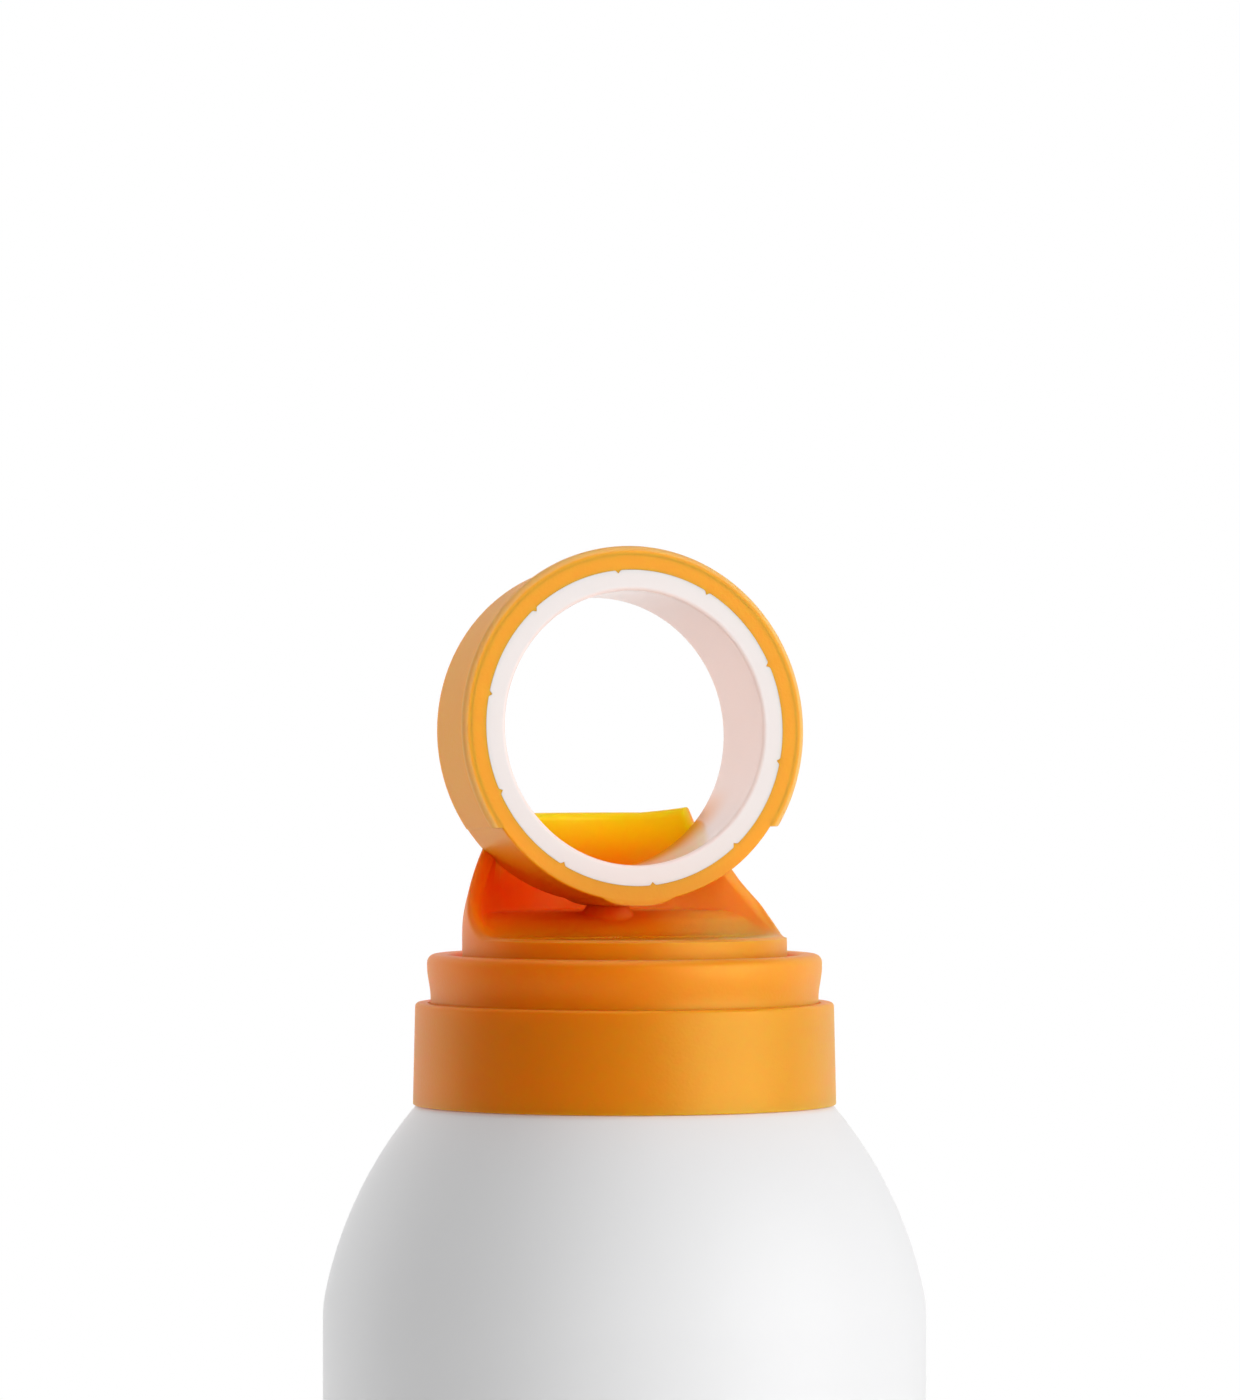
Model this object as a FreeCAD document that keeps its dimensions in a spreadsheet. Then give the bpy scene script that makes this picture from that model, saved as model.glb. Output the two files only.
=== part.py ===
import FreeCAD, Part
import os
import re

import Sketcher
from FreeCAD import Placement, Rotation, Vector

# A slim white aerosol can for sunscreen with an orange head: a collar, a guide ring with a snap bead, and a
# press-down hood that carries an upright spray ring with a white nozzle insert.
# +Z runs up the can's axis from the centre of its stand ring. The spray ring's front looks along -Y.
# The head's heights are above the ledge, the flat top of the can's shoulder. Millimetres and degrees.

SIZES = {
    # can
    "can_radius": 26.5,
    "can_wall": 0.45,
    "ledge_height": 143.0,
    "heel_radius": 4.5,
    "stand_width": 1.6,
    "base_rise": 8.5,
    "shoulder_height": 18.7,
    "shoulder_corner_radius": 11.4,
    "shoulder_corner_angle": 11.5,
    "ledge_overhang": 0.35,
    "neck_radius": 12.7,
    "neck_fillet": 1.85,
    "curl_height": 4.3,
    "curl_radius": 1.4,
    "curl_end_angle": 50.0,
    # valve cup and its gasket
    "cup_wall": 0.35,
    "cup_skirt": 0.9,
    "channel_depth": 3.0,
    "crimp_height": 0.9,
    "crimp_slope": 1.0,
    "crimp_bulge": 0.85,
    "crimp_land": 0.7,
    "pedestal_radius": 5.3,
    "pedestal_height": 5.2,
    "stem_hole_radius": 2.25,
    "gasket_gap": 0.35,
    "gasket_leg": 2.0,
    "gasket_end_angle": 30.0,
    "seal_clearance": 0.03,
    # valve
    "stem_gasket_height": 1.2,
    "housing_flange": 2.2,
    "housing_radius": 3.9,
    "housing_bore": 3.0,
    "housing_depth": 9.0,
    "housing_floor": 1.0,
    "spigot_radius": 1.6,
    "spigot_bore": 1.0,
    "spigot_length": 7.0,
    "stem_radius": 1.95,
    "stem_bore": 1.0,
    "stem_rise": 8.2,
    "stem_flange_radius": 2.7,
    "stem_flange_height": 1.0,
    "stem_boss_radius": 1.4,
    "stem_boss_length": 2.2,
    "orifice_radius": 0.3,
    "spring_radius": 2.1,
    "spring_wire": 0.25,
    "spring_turns": 7.0,
    "tube_radius": 2.15,
    "tube_wall": 0.5,
    "tube_straight": 60.0,
    "tube_reach": 14.0,
    "tube_lift": 9.0,
    "running_clearance": 0.05,
    # collar band
    "collar_radius": 18.6,
    "collar_height": 8.96,
    "collar_taper": 0.2,
    "collar_wall": 1.2,
    "collar_lip": 0.7,
    "collar_lip_height": 0.6,
    "collar_edge": 0.35,
    # guide ring with the snap bead
    "guide_gap": 0.15,
    "guide_height": 13.2,
    "guide_wall": 1.7,
    "guide_shelf": 0.45,
    "guide_shelf_height": 1.15,
    "bead_rise": 0.31,
    "bead_flare": 0.8,
    "bead_land": 1.0,
    "bead_round": 0.9,
    "guide_inner_round": 0.45,
    "hook_reach": 0.55,
    "hook_land": 0.8,
    "hook_slope": 0.9,
    "hook_count": 6,
    "slot_width": 1.6,
    "slot_height": 5.6,
    # hood
    "hood_radius": 14.28,
    "hood_wall": 1.2,
    "press_room": 2.1,
    "roof_gap": 0.1,
    "roof_wall": 1.25,
    "wall_rise": 11.2,
    "dome_lift": 0.25,
    "dome_radius": 12.0,
    "dome_draft": 15.1,
    "dish_rise": 2.05,
    "dish_round": 2.0,
    "rim_round": 0.35,
    "socket_wall": 1.6,
    "socket_depth": 4.0,
    "feed_radius": 0.6,
    # spray ring
    "ring_offset": 2.2,
    "seat_step": 0.3,
    "ring_tilt": 3.3,
    "ring_depth": 9.85,
    "ring_front_radius": 15.37,
    "ring_rear_radius": 15.05,
    "ring_room": 0.2,
    "ring_seam": 0.12,
    "ring_edge": 0.15,
    "insert_radius": 13.87,
    "insert_bore": 12.05,
    "insert_round": 0.3,
    "chamber_depth": 0.6,
    "chamber_land": 1.6,
    "outlet_count": 10,
    "outlet_width": 0.45,
    "outlet_depth": 0.28,
    "outlet_phase": 5.5,
    "band_radius": 16.0,
    "band_thickness": 1.0,
    "band_cut": 8.7,
    "foot_width": 11.0,
    "foot_depth": 7.6,
    "foot_drop": 0.3,
    "foot_round": 0.5,
    "seat_front": 1.0,
    "plug_place": 3.2,
    "plug_radius": 1.25,
    "plug_length": 1.6,
    "plug_gap": 0.2,
    # cuts run this far past what they cut
    "overrun": 2.0,
}

FULL_TURN = 360
RIGHT_ANGLE = 90

doc = FreeCAD.newDocument("SunscreenCan")
sheet = doc.addObject("Spreadsheet::Sheet", "Sizes")
for row, (alias, value) in enumerate(SIZES.items(), start=1):
    sheet.set(f"A{row}", alias)
    sheet.set(f"B{row}", str(value))
    sheet.setAlias(f"B{row}", alias)
doc.recompute()


def size(expression):
    """Present value of an expression in the sheet's aliases."""
    value = sheet.evalExpression(expression)
    return float(getattr(value, "Value", value))


def bound(expression):
    """The same expression as another object reads it from the sheet."""
    return re.sub(
        r"[a-z_]+",
        lambda word: f"Sizes.{word[0]}" if word[0] in SIZES else word[0],
        expression,
    )


def tie(thing, name, expression):
    """Bind a property, or a named part of one, to the sheet."""
    thing.setExpression(name, bound(expression))


def sub_part(label, height="0"):
    """An empty body for one sub-part, with its own frame at a height above the can's stand ring."""
    body = doc.addObject("PartDesign::Body", label)
    body.Label = label
    tie(body, "Placement.Base.z", height)
    return body


def plane_of(body, role):
    return next(plane for plane in body.Origin.OriginFeatures if plane.Role == role)


def blank_sketch(body, name, role):
    sketch = body.newObject("Sketcher::SketchObject", name)
    sketch.AttachmentSupport = [(plane_of(body, role), "")]
    sketch.MapMode = "FlatFace"
    return sketch


# How an edge of an outline reaches its corner: straight, carrying on smoothly from the edge before, round
# a centre on the sketch's upright axis, or as an arc (radius, turn) whose turn is 1 to the left, -1 to the
# right, and 2 or -2 for the long way round.
STRAIGHT = None
SMOOTH = "smooth"
CROWN = "crown"
LEFT = 1
RIGHT = -1
LONG_LEFT = 2
LONG_RIGHT = -2


def arc_centre(start, end, bend, heading):
    """Centre of the arc from start to end, and whether it turns left."""
    chord = end - start
    left = Vector(-chord.y, chord.x, 0).normalize()
    if bend == CROWN:
        flat = (end.x**2 + end.y**2 - start.x**2 - start.y**2) / (end.y - start.y)
        centre = Vector(0, flat / 2, 0)
        return centre, (start - centre).cross(end - centre).z > 0
    if bend == SMOOTH:
        side = Vector(-heading.y, heading.x, 0)
        reach = chord.Length**2 / (2 * chord.dot(side))
        return start + side * reach, reach > 0
    radius, turn = bend
    rise = (size(radius) ** 2 - (chord.Length / 2) ** 2) ** 0.5
    side = {LEFT: 1, RIGHT: -1, LONG_LEFT: -1, LONG_RIGHT: 1}[turn]
    return start + chord * 0.5 + left * (side * rise), turn > 0


def draw_edge(sketch, start, end, bend, heading):
    """Add one edge. Returns its index, its start and end point numbers, and its heading at the end."""
    if bend is STRAIGHT:
        return sketch.addGeometry(Part.LineSegment(start, end)), 1, 2, (end - start).normalize()
    centre, left = arc_centre(start, end, bend, heading)
    circle = Part.Circle(centre, Vector(0, 0, 1), (start - centre).Length)
    first, last = (start, end) if left else (end, start)
    arc = Part.ArcOfCircle(circle, circle.parameter(first), circle.parameter(last))
    spoke = (end - centre).normalize()
    turned = Vector(-spoke.y, spoke.x, 0) if left else Vector(spoke.y, -spoke.x, 0)
    return sketch.addGeometry(arc), (1 if left else 2), (2 if left else 1), turned


def pin_down(sketch, edge, point, x, y):
    """Hold a point of the sketch at two expressions of the sheet."""
    for kind, axis, place in (("DistanceX", -2, x), ("DistanceY", -1, y)):
        if place == "0":
            sketch.addConstraint(Sketcher.Constraint("PointOnObject", edge, point, axis))
        else:
            number = sketch.addConstraint(Sketcher.Constraint(kind, -1, 1, edge, point, size(place)))
            tie(sketch, f"Constraints[{number}]", place)


def outline(body, name, role, corners, closed=True):
    """Sketch through corners (x, y, bend), each place an expression of the sheet."""
    sketch = blank_sketch(body, name, role)
    points = [Vector(size(x), size(y), 0) for x, y, bend in corners]
    order = list(range(1, len(corners))) + ([0] if closed else [])
    heading = None
    drawn = []
    for corner in order:
        x, y, bend = corners[corner]
        edge, start, end, heading = draw_edge(sketch, points[corner - 1], points[corner], bend, heading)
        if drawn:
            before, before_end = drawn[-1][0], drawn[-1][2]
            kind = "Tangent" if bend == SMOOTH else "Coincident"
            sketch.addConstraint(Sketcher.Constraint(kind, before, before_end, edge, start))
        elif not closed:
            pin_down(sketch, edge, start, *corners[0][:2])
        if bend == CROWN:
            sketch.addConstraint(Sketcher.Constraint("PointOnObject", edge, 3, -2))
        elif bend not in (STRAIGHT, SMOOTH):
            number = sketch.addConstraint(Sketcher.Constraint("Radius", edge, size(bend[0])))
            tie(sketch, f"Constraints[{number}]", bend[0])
        pin_down(sketch, edge, end, x, y)
        drawn.append((edge, start, end))
    if closed:
        last, last_end = drawn[-1][0], drawn[-1][2]
        sketch.addConstraint(Sketcher.Constraint("Coincident", last, last_end, *drawn[0][:2]))
    return sketch


def round_spot(body, name, role, radius, x="0", y="0"):
    """Sketch of one circle."""
    sketch = blank_sketch(body, name, role)
    circle = Part.Circle(Vector(size(x), size(y), 0), Vector(0, 0, 1), size(radius))
    edge = sketch.addGeometry(circle)
    number = sketch.addConstraint(Sketcher.Constraint("Radius", edge, size(radius)))
    tie(sketch, f"Constraints[{number}]", radius)
    pin_down(sketch, edge, 3, x, y)
    return sketch


def turn(body, name, corners, kind="PartDesign::Revolution"):
    """Full turn about the body's upright axis: a solid, or a cut if kind is a groove."""
    sketch = outline(body, f"{name}_outline", "XZ_Plane", corners)
    feature = body.newObject(kind, name)
    feature.Profile = sketch
    feature.ReferenceAxis = (sketch, ["V_Axis"])
    feature.Angle = FULL_TURN
    return feature


def groove(body, name, corners):
    return turn(body, name, corners, "PartDesign::Groove")


def pad(body, name, sketch, length, both_ways=True):
    feature = body.newObject("PartDesign::Pad", name)
    feature.Profile = sketch
    feature.Midplane = both_ways
    tie(feature, "Length", length)
    return feature


def pocket(body, name, sketch, length=None, both_ways=True, reverse=False):
    """Cut with a sketch, right through or to a length."""
    feature = body.newObject("PartDesign::Pocket", name)
    feature.Profile = sketch
    feature.Midplane = both_ways
    feature.Reversed = reverse
    if length is None:
        feature.Type = "ThroughAll"
    else:
        tie(feature, "Length", length)
    return feature


def repeat_round(body, name, feature, axis, count):
    """Copies of a feature spread evenly round one of the body's axes."""
    pattern = body.newObject("PartDesign::PolarPattern", name)
    pattern.Originals = [feature]
    pattern.Axis = (plane_of(body, axis), [""])
    pattern.Angle = FULL_TURN
    tie(pattern, "Occurrences", count)
    body.Tip = pattern
    return pattern


def runs_along(edge, axes):
    """Whether an edge reaches out along exactly these axes of its body."""
    box = edge.BoundBox
    reach = {"X": box.XLength, "Y": box.YLength, "Z": box.ZLength}
    return {axis for axis, length in reach.items() if length > size("seal_clearance")} == set(axes)


def soften(body, name, base, radius, keep):
    """Round the edges of a feature for which keep(edge) holds."""
    doc.recompute()
    edges = [f"Edge{n}" for n, edge in enumerate(base.Shape.Edges, start=1) if keep(edge)]
    feature = body.newObject("PartDesign::Fillet", name)
    feature.Base = (base, edges)
    tie(feature, "Radius", radius)
    return feature


# can

CURL_CENTRE = "neck_radius + curl_radius"
SHOULDER_START = "ledge_height - shoulder_height"


def shoulder_joint(radius):
    """Where the tight arc above the straight wall hands over to the long arc of the shoulder."""
    x = f"can_radius - shoulder_corner_radius + {radius} * cos(shoulder_corner_angle)"
    return x, f"{SHOULDER_START} + {radius} * sin(shoulder_corner_angle)", SMOOTH


def can_body():
    """Drawn and necked can in one piece: domed base, straight wall, shoulder, neck and rolled curl."""
    body = sub_part("can_body")
    mouth = "ledge_height + curl_height"
    turn(body, "can_blank", [
        ("0", "base_rise", STRAIGHT),
        ("can_radius - heel_radius - stand_width", "0", CROWN),
        ("can_radius - heel_radius", "0", STRAIGHT),
        ("can_radius", "heel_radius", SMOOTH),
        ("can_radius", SHOULDER_START, STRAIGHT),
        shoulder_joint("shoulder_corner_radius"),
        ("collar_radius - ledge_overhang", "ledge_height", SMOOTH),
        ("neck_radius + can_wall + neck_fillet", "ledge_height", STRAIGHT),
        ("neck_radius + can_wall", "ledge_height + neck_fillet", SMOOTH),
        ("neck_radius + can_wall", mouth, STRAIGHT),
        ("0", mouth, STRAIGHT),
    ])
    groove(body, "can_hollow", [
        ("0", "base_rise + can_wall", STRAIGHT),
        ("can_radius - heel_radius - stand_width", "can_wall", CROWN),
        ("can_radius - heel_radius", "can_wall", STRAIGHT),
        ("can_radius - can_wall", "heel_radius", SMOOTH),
        ("can_radius - can_wall", SHOULDER_START, STRAIGHT),
        shoulder_joint("(shoulder_corner_radius - can_wall)"),
        ("collar_radius - ledge_overhang - can_wall / 2", "ledge_height - can_wall", SMOOTH),
        ("neck_radius + can_wall + neck_fillet", "ledge_height - can_wall", STRAIGHT),
        ("neck_radius", "ledge_height + neck_fillet", SMOOTH),
        ("neck_radius", f"{mouth} + overrun", STRAIGHT),
        ("0", f"{mouth} + overrun", STRAIGHT),
    ])
    lip_cos = "cos(curl_end_angle)"
    lip_sin = "sin(curl_end_angle)"
    turn(body, "can_curl", [
        ("neck_radius", mouth, ("curl_radius", LONG_LEFT)),
        ("neck_radius + can_wall", mouth, STRAIGHT),
        (
            f"{CURL_CENTRE} + (curl_radius - can_wall) * {lip_cos}",
            f"{mouth} - (curl_radius - can_wall) * {lip_sin}",
            ("curl_radius - can_wall", LONG_RIGHT),
        ),
        (f"{CURL_CENTRE} + curl_radius * {lip_cos}", f"{mouth} - curl_radius * {lip_sin}", STRAIGHT),
    ])
    return body


# valve

CUP_REACH = "curl_radius + gasket_gap + cup_wall"
CUP_INNER = f"{CURL_CENTRE} - ({CUP_REACH})"
CUP_OUTER = f"{CURL_CENTRE} + {CUP_REACH}"
CUP_TOP = f"curl_height + {CUP_REACH}"
GASKET_TOP = "pedestal_height - cup_wall"
HOUSING_TOP = f"{GASKET_TOP} - stem_gasket_height"
HOUSING_RIM = "pedestal_radius - cup_wall - seal_clearance"
HOUSING_SEAT = "-housing_depth + housing_floor"
FLANGE_LOW = f"{HOUSING_TOP} - stem_flange_height"
STEM_TOP = "(pedestal_height + stem_rise)"


def valve_cup():
    """Sheet-metal cup: rolled over the can's curl, crimped below its neck, raised in the middle."""
    body = sub_part("valve_cup", "ledge_height")
    wall = f"{CUP_INNER} + cup_wall"
    turn(body, "cup", [
        (CUP_OUTER, "curl_height - cup_skirt", STRAIGHT),
        (CUP_OUTER, "curl_height", STRAIGHT),
        (CUP_INNER, "curl_height", SMOOTH),
        (CUP_INNER, "-channel_depth", STRAIGHT),
        ("pedestal_radius", "-channel_depth", STRAIGHT),
        ("pedestal_radius", "pedestal_height", STRAIGHT),
        ("stem_hole_radius", "pedestal_height", STRAIGHT),
        ("stem_hole_radius", GASKET_TOP, STRAIGHT),
        ("pedestal_radius - cup_wall", GASKET_TOP, STRAIGHT),
        ("pedestal_radius - cup_wall", "-channel_depth - cup_wall", STRAIGHT),
        (wall, "-channel_depth - cup_wall", STRAIGHT),
        (wall, "crimp_height - 2 * crimp_slope - crimp_land", STRAIGHT),
        (f"{wall} + crimp_bulge", "crimp_height - crimp_slope - crimp_land", STRAIGHT),
        (f"{wall} + crimp_bulge", "crimp_height - crimp_slope", STRAIGHT),
        (wall, "crimp_height", STRAIGHT),
        (wall, "curl_height", STRAIGHT),
        (f"{CUP_OUTER} - cup_wall", "curl_height", SMOOTH),
        (f"{CUP_OUTER} - cup_wall", "curl_height - cup_skirt", STRAIGHT),
    ])
    return body


def cup_gasket():
    """Rubber sleeve between the can's curl and the cup."""
    body = sub_part("cup_gasket", "ledge_height")
    inner = "(curl_radius + seal_clearance)"
    outer = "(curl_radius + gasket_gap - seal_clearance)"
    end_cos = "cos(gasket_end_angle)"
    end_sin = "sin(gasket_end_angle)"
    turn(body, "gasket", [
        (f"{CURL_CENTRE} - {outer}", "curl_height - gasket_leg", STRAIGHT),
        (f"{CURL_CENTRE} - {inner}", "curl_height - gasket_leg", STRAIGHT),
        (f"{CURL_CENTRE} - {inner}", "curl_height", STRAIGHT),
        (f"{CURL_CENTRE} + {inner} * {end_cos}", f"curl_height + {inner} * {end_sin}", SMOOTH),
        (f"{CURL_CENTRE} + {outer} * {end_cos}", f"curl_height + {outer} * {end_sin}", STRAIGHT),
        (f"{CURL_CENTRE} - {outer}", "curl_height", (outer, LEFT)),
    ])
    return body


def valve_housing():
    """Plastic housing under the cup: a flange, a spring chamber and a spigot for the dip tube."""
    body = sub_part("valve_housing", "ledge_height")
    turn(body, "housing", [
        ("housing_bore", HOUSING_TOP, STRAIGHT),
        (HOUSING_RIM, HOUSING_TOP, STRAIGHT),
        (HOUSING_RIM, f"{HOUSING_TOP} - housing_flange", STRAIGHT),
        ("housing_radius", f"{HOUSING_TOP} - housing_flange", STRAIGHT),
        ("housing_radius", "-housing_depth", STRAIGHT),
        ("spigot_radius", "-housing_depth", STRAIGHT),
        ("spigot_radius", "-housing_depth - spigot_length", STRAIGHT),
        ("spigot_bore", "-housing_depth - spigot_length", STRAIGHT),
        ("spigot_bore", HOUSING_SEAT, STRAIGHT),
        ("housing_bore", HOUSING_SEAT, STRAIGHT),
    ])
    return body


def stem_gasket():
    """Flat rubber ring that seals the stem's side hole at rest."""
    body = sub_part("stem_gasket", "ledge_height")
    turn(body, "ring", [
        ("stem_radius + running_clearance", HOUSING_TOP, STRAIGHT),
        (HOUSING_RIM, HOUSING_TOP, STRAIGHT),
        (HOUSING_RIM, GASKET_TOP, STRAIGHT),
        ("stem_radius + running_clearance", GASKET_TOP, STRAIGHT),
    ])
    return body


def valve_stem():
    """Hollow stem with a side hole, a flange under the gasket and a boss that centres the spring."""
    body = sub_part("valve_stem", "ledge_height")
    hole_height = f"{HOUSING_TOP} + stem_gasket_height / 2"
    turn(body, "stem", [
        ("0", f"{FLANGE_LOW} - stem_boss_length", STRAIGHT),
        ("stem_boss_radius", f"{FLANGE_LOW} - stem_boss_length", STRAIGHT),
        ("stem_boss_radius", FLANGE_LOW, STRAIGHT),
        ("stem_flange_radius", FLANGE_LOW, STRAIGHT),
        ("stem_flange_radius", HOUSING_TOP, STRAIGHT),
        ("stem_radius", HOUSING_TOP, STRAIGHT),
        ("stem_radius", STEM_TOP, STRAIGHT),
        ("stem_bore", STEM_TOP, STRAIGHT),
        ("stem_bore", f"{hole_height} - 2 * orifice_radius", STRAIGHT),
        ("0", f"{hole_height} - 2 * orifice_radius", STRAIGHT),
    ])
    hole = round_spot(body, "side_hole_spot", "XZ_Plane", "orifice_radius", y=hole_height)
    pocket(body, "side_hole", hole)
    return body


def valve_spring():
    """Wire spring between the housing's floor and the stem's flange."""
    seat = f"({HOUSING_SEAT} + spring_wire + seal_clearance)"
    body = sub_part("valve_spring", f"ledge_height + {seat}")
    wire = round_spot(body, "wire", "XZ_Plane", "spring_wire", x="spring_radius")
    coil = body.newObject("PartDesign::AdditiveHelix", "coil")
    coil.Profile = wire
    coil.ReferenceAxis = (wire, ["V_Axis"])
    coil.Mode = "height-turns-angle"
    tie(coil, "Height", f"{FLANGE_LOW} - spring_wire - seal_clearance - {seat}")
    tie(coil, "Turns", "spring_turns")
    return body


def dip_tube():
    """Tube from the housing's spigot to the can's heel, straight at first and then gently bowed."""
    body = sub_part("dip_tube", "ledge_height - housing_depth - running_clearance")
    low = "tube_lift - (ledge_height - housing_depth - running_clearance)"
    route = outline(body, "route", "XZ_Plane", [
        ("0", "0", STRAIGHT),
        ("0", "-tube_straight", STRAIGHT),
        ("tube_reach", low, SMOOTH),
    ], closed=False)
    for name, kind, radius in (
        ("wall", "PartDesign::AdditivePipe", "tube_radius"),
        ("bore", "PartDesign::SubtractivePipe", "tube_radius - tube_wall"),
    ):
        pipe = body.newObject(kind, f"tube_{name}")
        pipe.Profile = round_spot(body, f"{name}_section", "XY_Plane", radius)
        pipe.Spine = route
    return body


# collars

COLLAR_BORE = "collar_radius - collar_taper - collar_wall"
GUIDE_RADIUS = f"{COLLAR_BORE} - guide_gap"
SKIRT_BORE = f"{CUP_OUTER} + guide_gap"
GUIDE_BORE = f"{GUIDE_RADIUS} - guide_wall"


def collar_band():
    """Band that stands on the can's ledge and hides the crimped joint."""
    body = sub_part("collar_band", "ledge_height")
    top = "collar_radius - collar_taper"
    turn(body, "band", [
        (f"{COLLAR_BORE} - collar_lip", "0", STRAIGHT),
        ("collar_radius", "0", STRAIGHT),
        (top, "collar_height - collar_edge", STRAIGHT),
        (f"{top} - collar_edge", "collar_height", SMOOTH),
        (COLLAR_BORE, "collar_height", STRAIGHT),
        (COLLAR_BORE, "collar_lip_height", STRAIGHT),
        (f"{COLLAR_BORE} - collar_lip", "collar_lip_height", STRAIGHT),
    ])
    return body


def guide_ring():
    """Ring that snaps under the cup's edge, holds the band down, guides the hood and has the snap bead."""
    body = sub_part("guide_ring", "ledge_height")
    low = "collar_lip_height + running_clearance"
    shelf = f"{CUP_TOP} + running_clearance"
    hook = "curl_height - cup_skirt - running_clearance"
    bead = f"{GUIDE_RADIUS} + bead_rise"
    land = "guide_height - bead_round - bead_land"
    turn(body, "ring", [
        (GUIDE_RADIUS, low, STRAIGHT),
        (GUIDE_RADIUS, f"{land} - bead_flare", STRAIGHT),
        (bead, land, STRAIGHT),
        (bead, "guide_height - bead_round", STRAIGHT),
        (f"{bead} - bead_round", "guide_height", SMOOTH),
        (f"{GUIDE_BORE} + guide_inner_round", "guide_height", STRAIGHT),
        (GUIDE_BORE, "guide_height - guide_inner_round", SMOOTH),
        (GUIDE_BORE, f"{shelf} + guide_shelf_height", STRAIGHT),
        (f"{GUIDE_BORE} - guide_shelf", f"{shelf} + guide_shelf_height", STRAIGHT),
        (f"{GUIDE_BORE} - guide_shelf", shelf, STRAIGHT),
        (SKIRT_BORE, shelf, STRAIGHT),
        (SKIRT_BORE, hook, STRAIGHT),
        (f"{SKIRT_BORE} - hook_reach", hook, STRAIGHT),
        (f"{SKIRT_BORE} - hook_reach", f"{hook} - hook_land", STRAIGHT),
        (SKIRT_BORE, f"{hook} - hook_land - hook_slope", STRAIGHT),
        (SKIRT_BORE, low, STRAIGHT),
    ])
    slot = outline(body, "slot_outline", "XZ_Plane", [
        (f"{SKIRT_BORE} - hook_reach - overrun", "-overrun", STRAIGHT),
        (f"{GUIDE_RADIUS} + overrun", "-overrun", STRAIGHT),
        (f"{GUIDE_RADIUS} + overrun", "slot_height", STRAIGHT),
        (f"{SKIRT_BORE} - hook_reach - overrun", "slot_height", STRAIGHT),
    ])
    cut = pocket(body, "slot", slot, "slot_width")
    repeat_round(body, "slots", cut, "Z_Axis", "hook_count")
    return body


# hood

# Side view of the hood's rim, from the level front up to the rear wall: places along the hood as shares of
# its radius, and heights as shares of the rise from the front rim to the top.
RIM_SHARES = (
    (-0.294, 0.0, STRAIGHT),
    (0.063, 0.156, SMOOTH),
    (0.238, 0.33, STRAIGHT),
    (0.364, 0.535, SMOOTH),
    (0.54, 1.0, STRAIGHT),
    (0.75, 0.955, STRAIGHT),
)

HOOD_LOW = f"({CUP_TOP} + press_room)"
HOOD_ROOF = f"({STEM_TOP} + roof_gap)"
RIM_FRONT = f"({HOOD_ROOF} + roof_wall)"
DISH_FLOOR = f"({RIM_FRONT} + dish_rise)"
HOOD_TOP = f"({RIM_FRONT} + wall_rise)"
DOME_START = f"({RIM_FRONT} + dome_lift)"
DOME_X = "hood_radius - dome_radius * (1 - cos(dome_draft))"
DOME_Z = f"{DOME_START} + dome_radius * sin(dome_draft)"
FOOT_REACH = "(ring_front_radius + foot_drop)"
RING_HEIGHT = f"({DISH_FLOOR} + seat_step + {FOOT_REACH} / cos(ring_tilt))"
FOOT_MIDDLE = f"(ring_offset - {FOOT_REACH} * sin(ring_tilt))"
FOOT_REAR = f"({FOOT_MIDDLE} + foot_depth / 2 * cos(ring_tilt))"


def seat_height(place):
    """Height of the tilted seat under the spray ring, at a place along the hood."""
    return f"{RING_HEIGHT} - ({place} - ring_offset) * tan(ring_tilt) - {FOOT_REACH} / cos(ring_tilt)"


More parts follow.
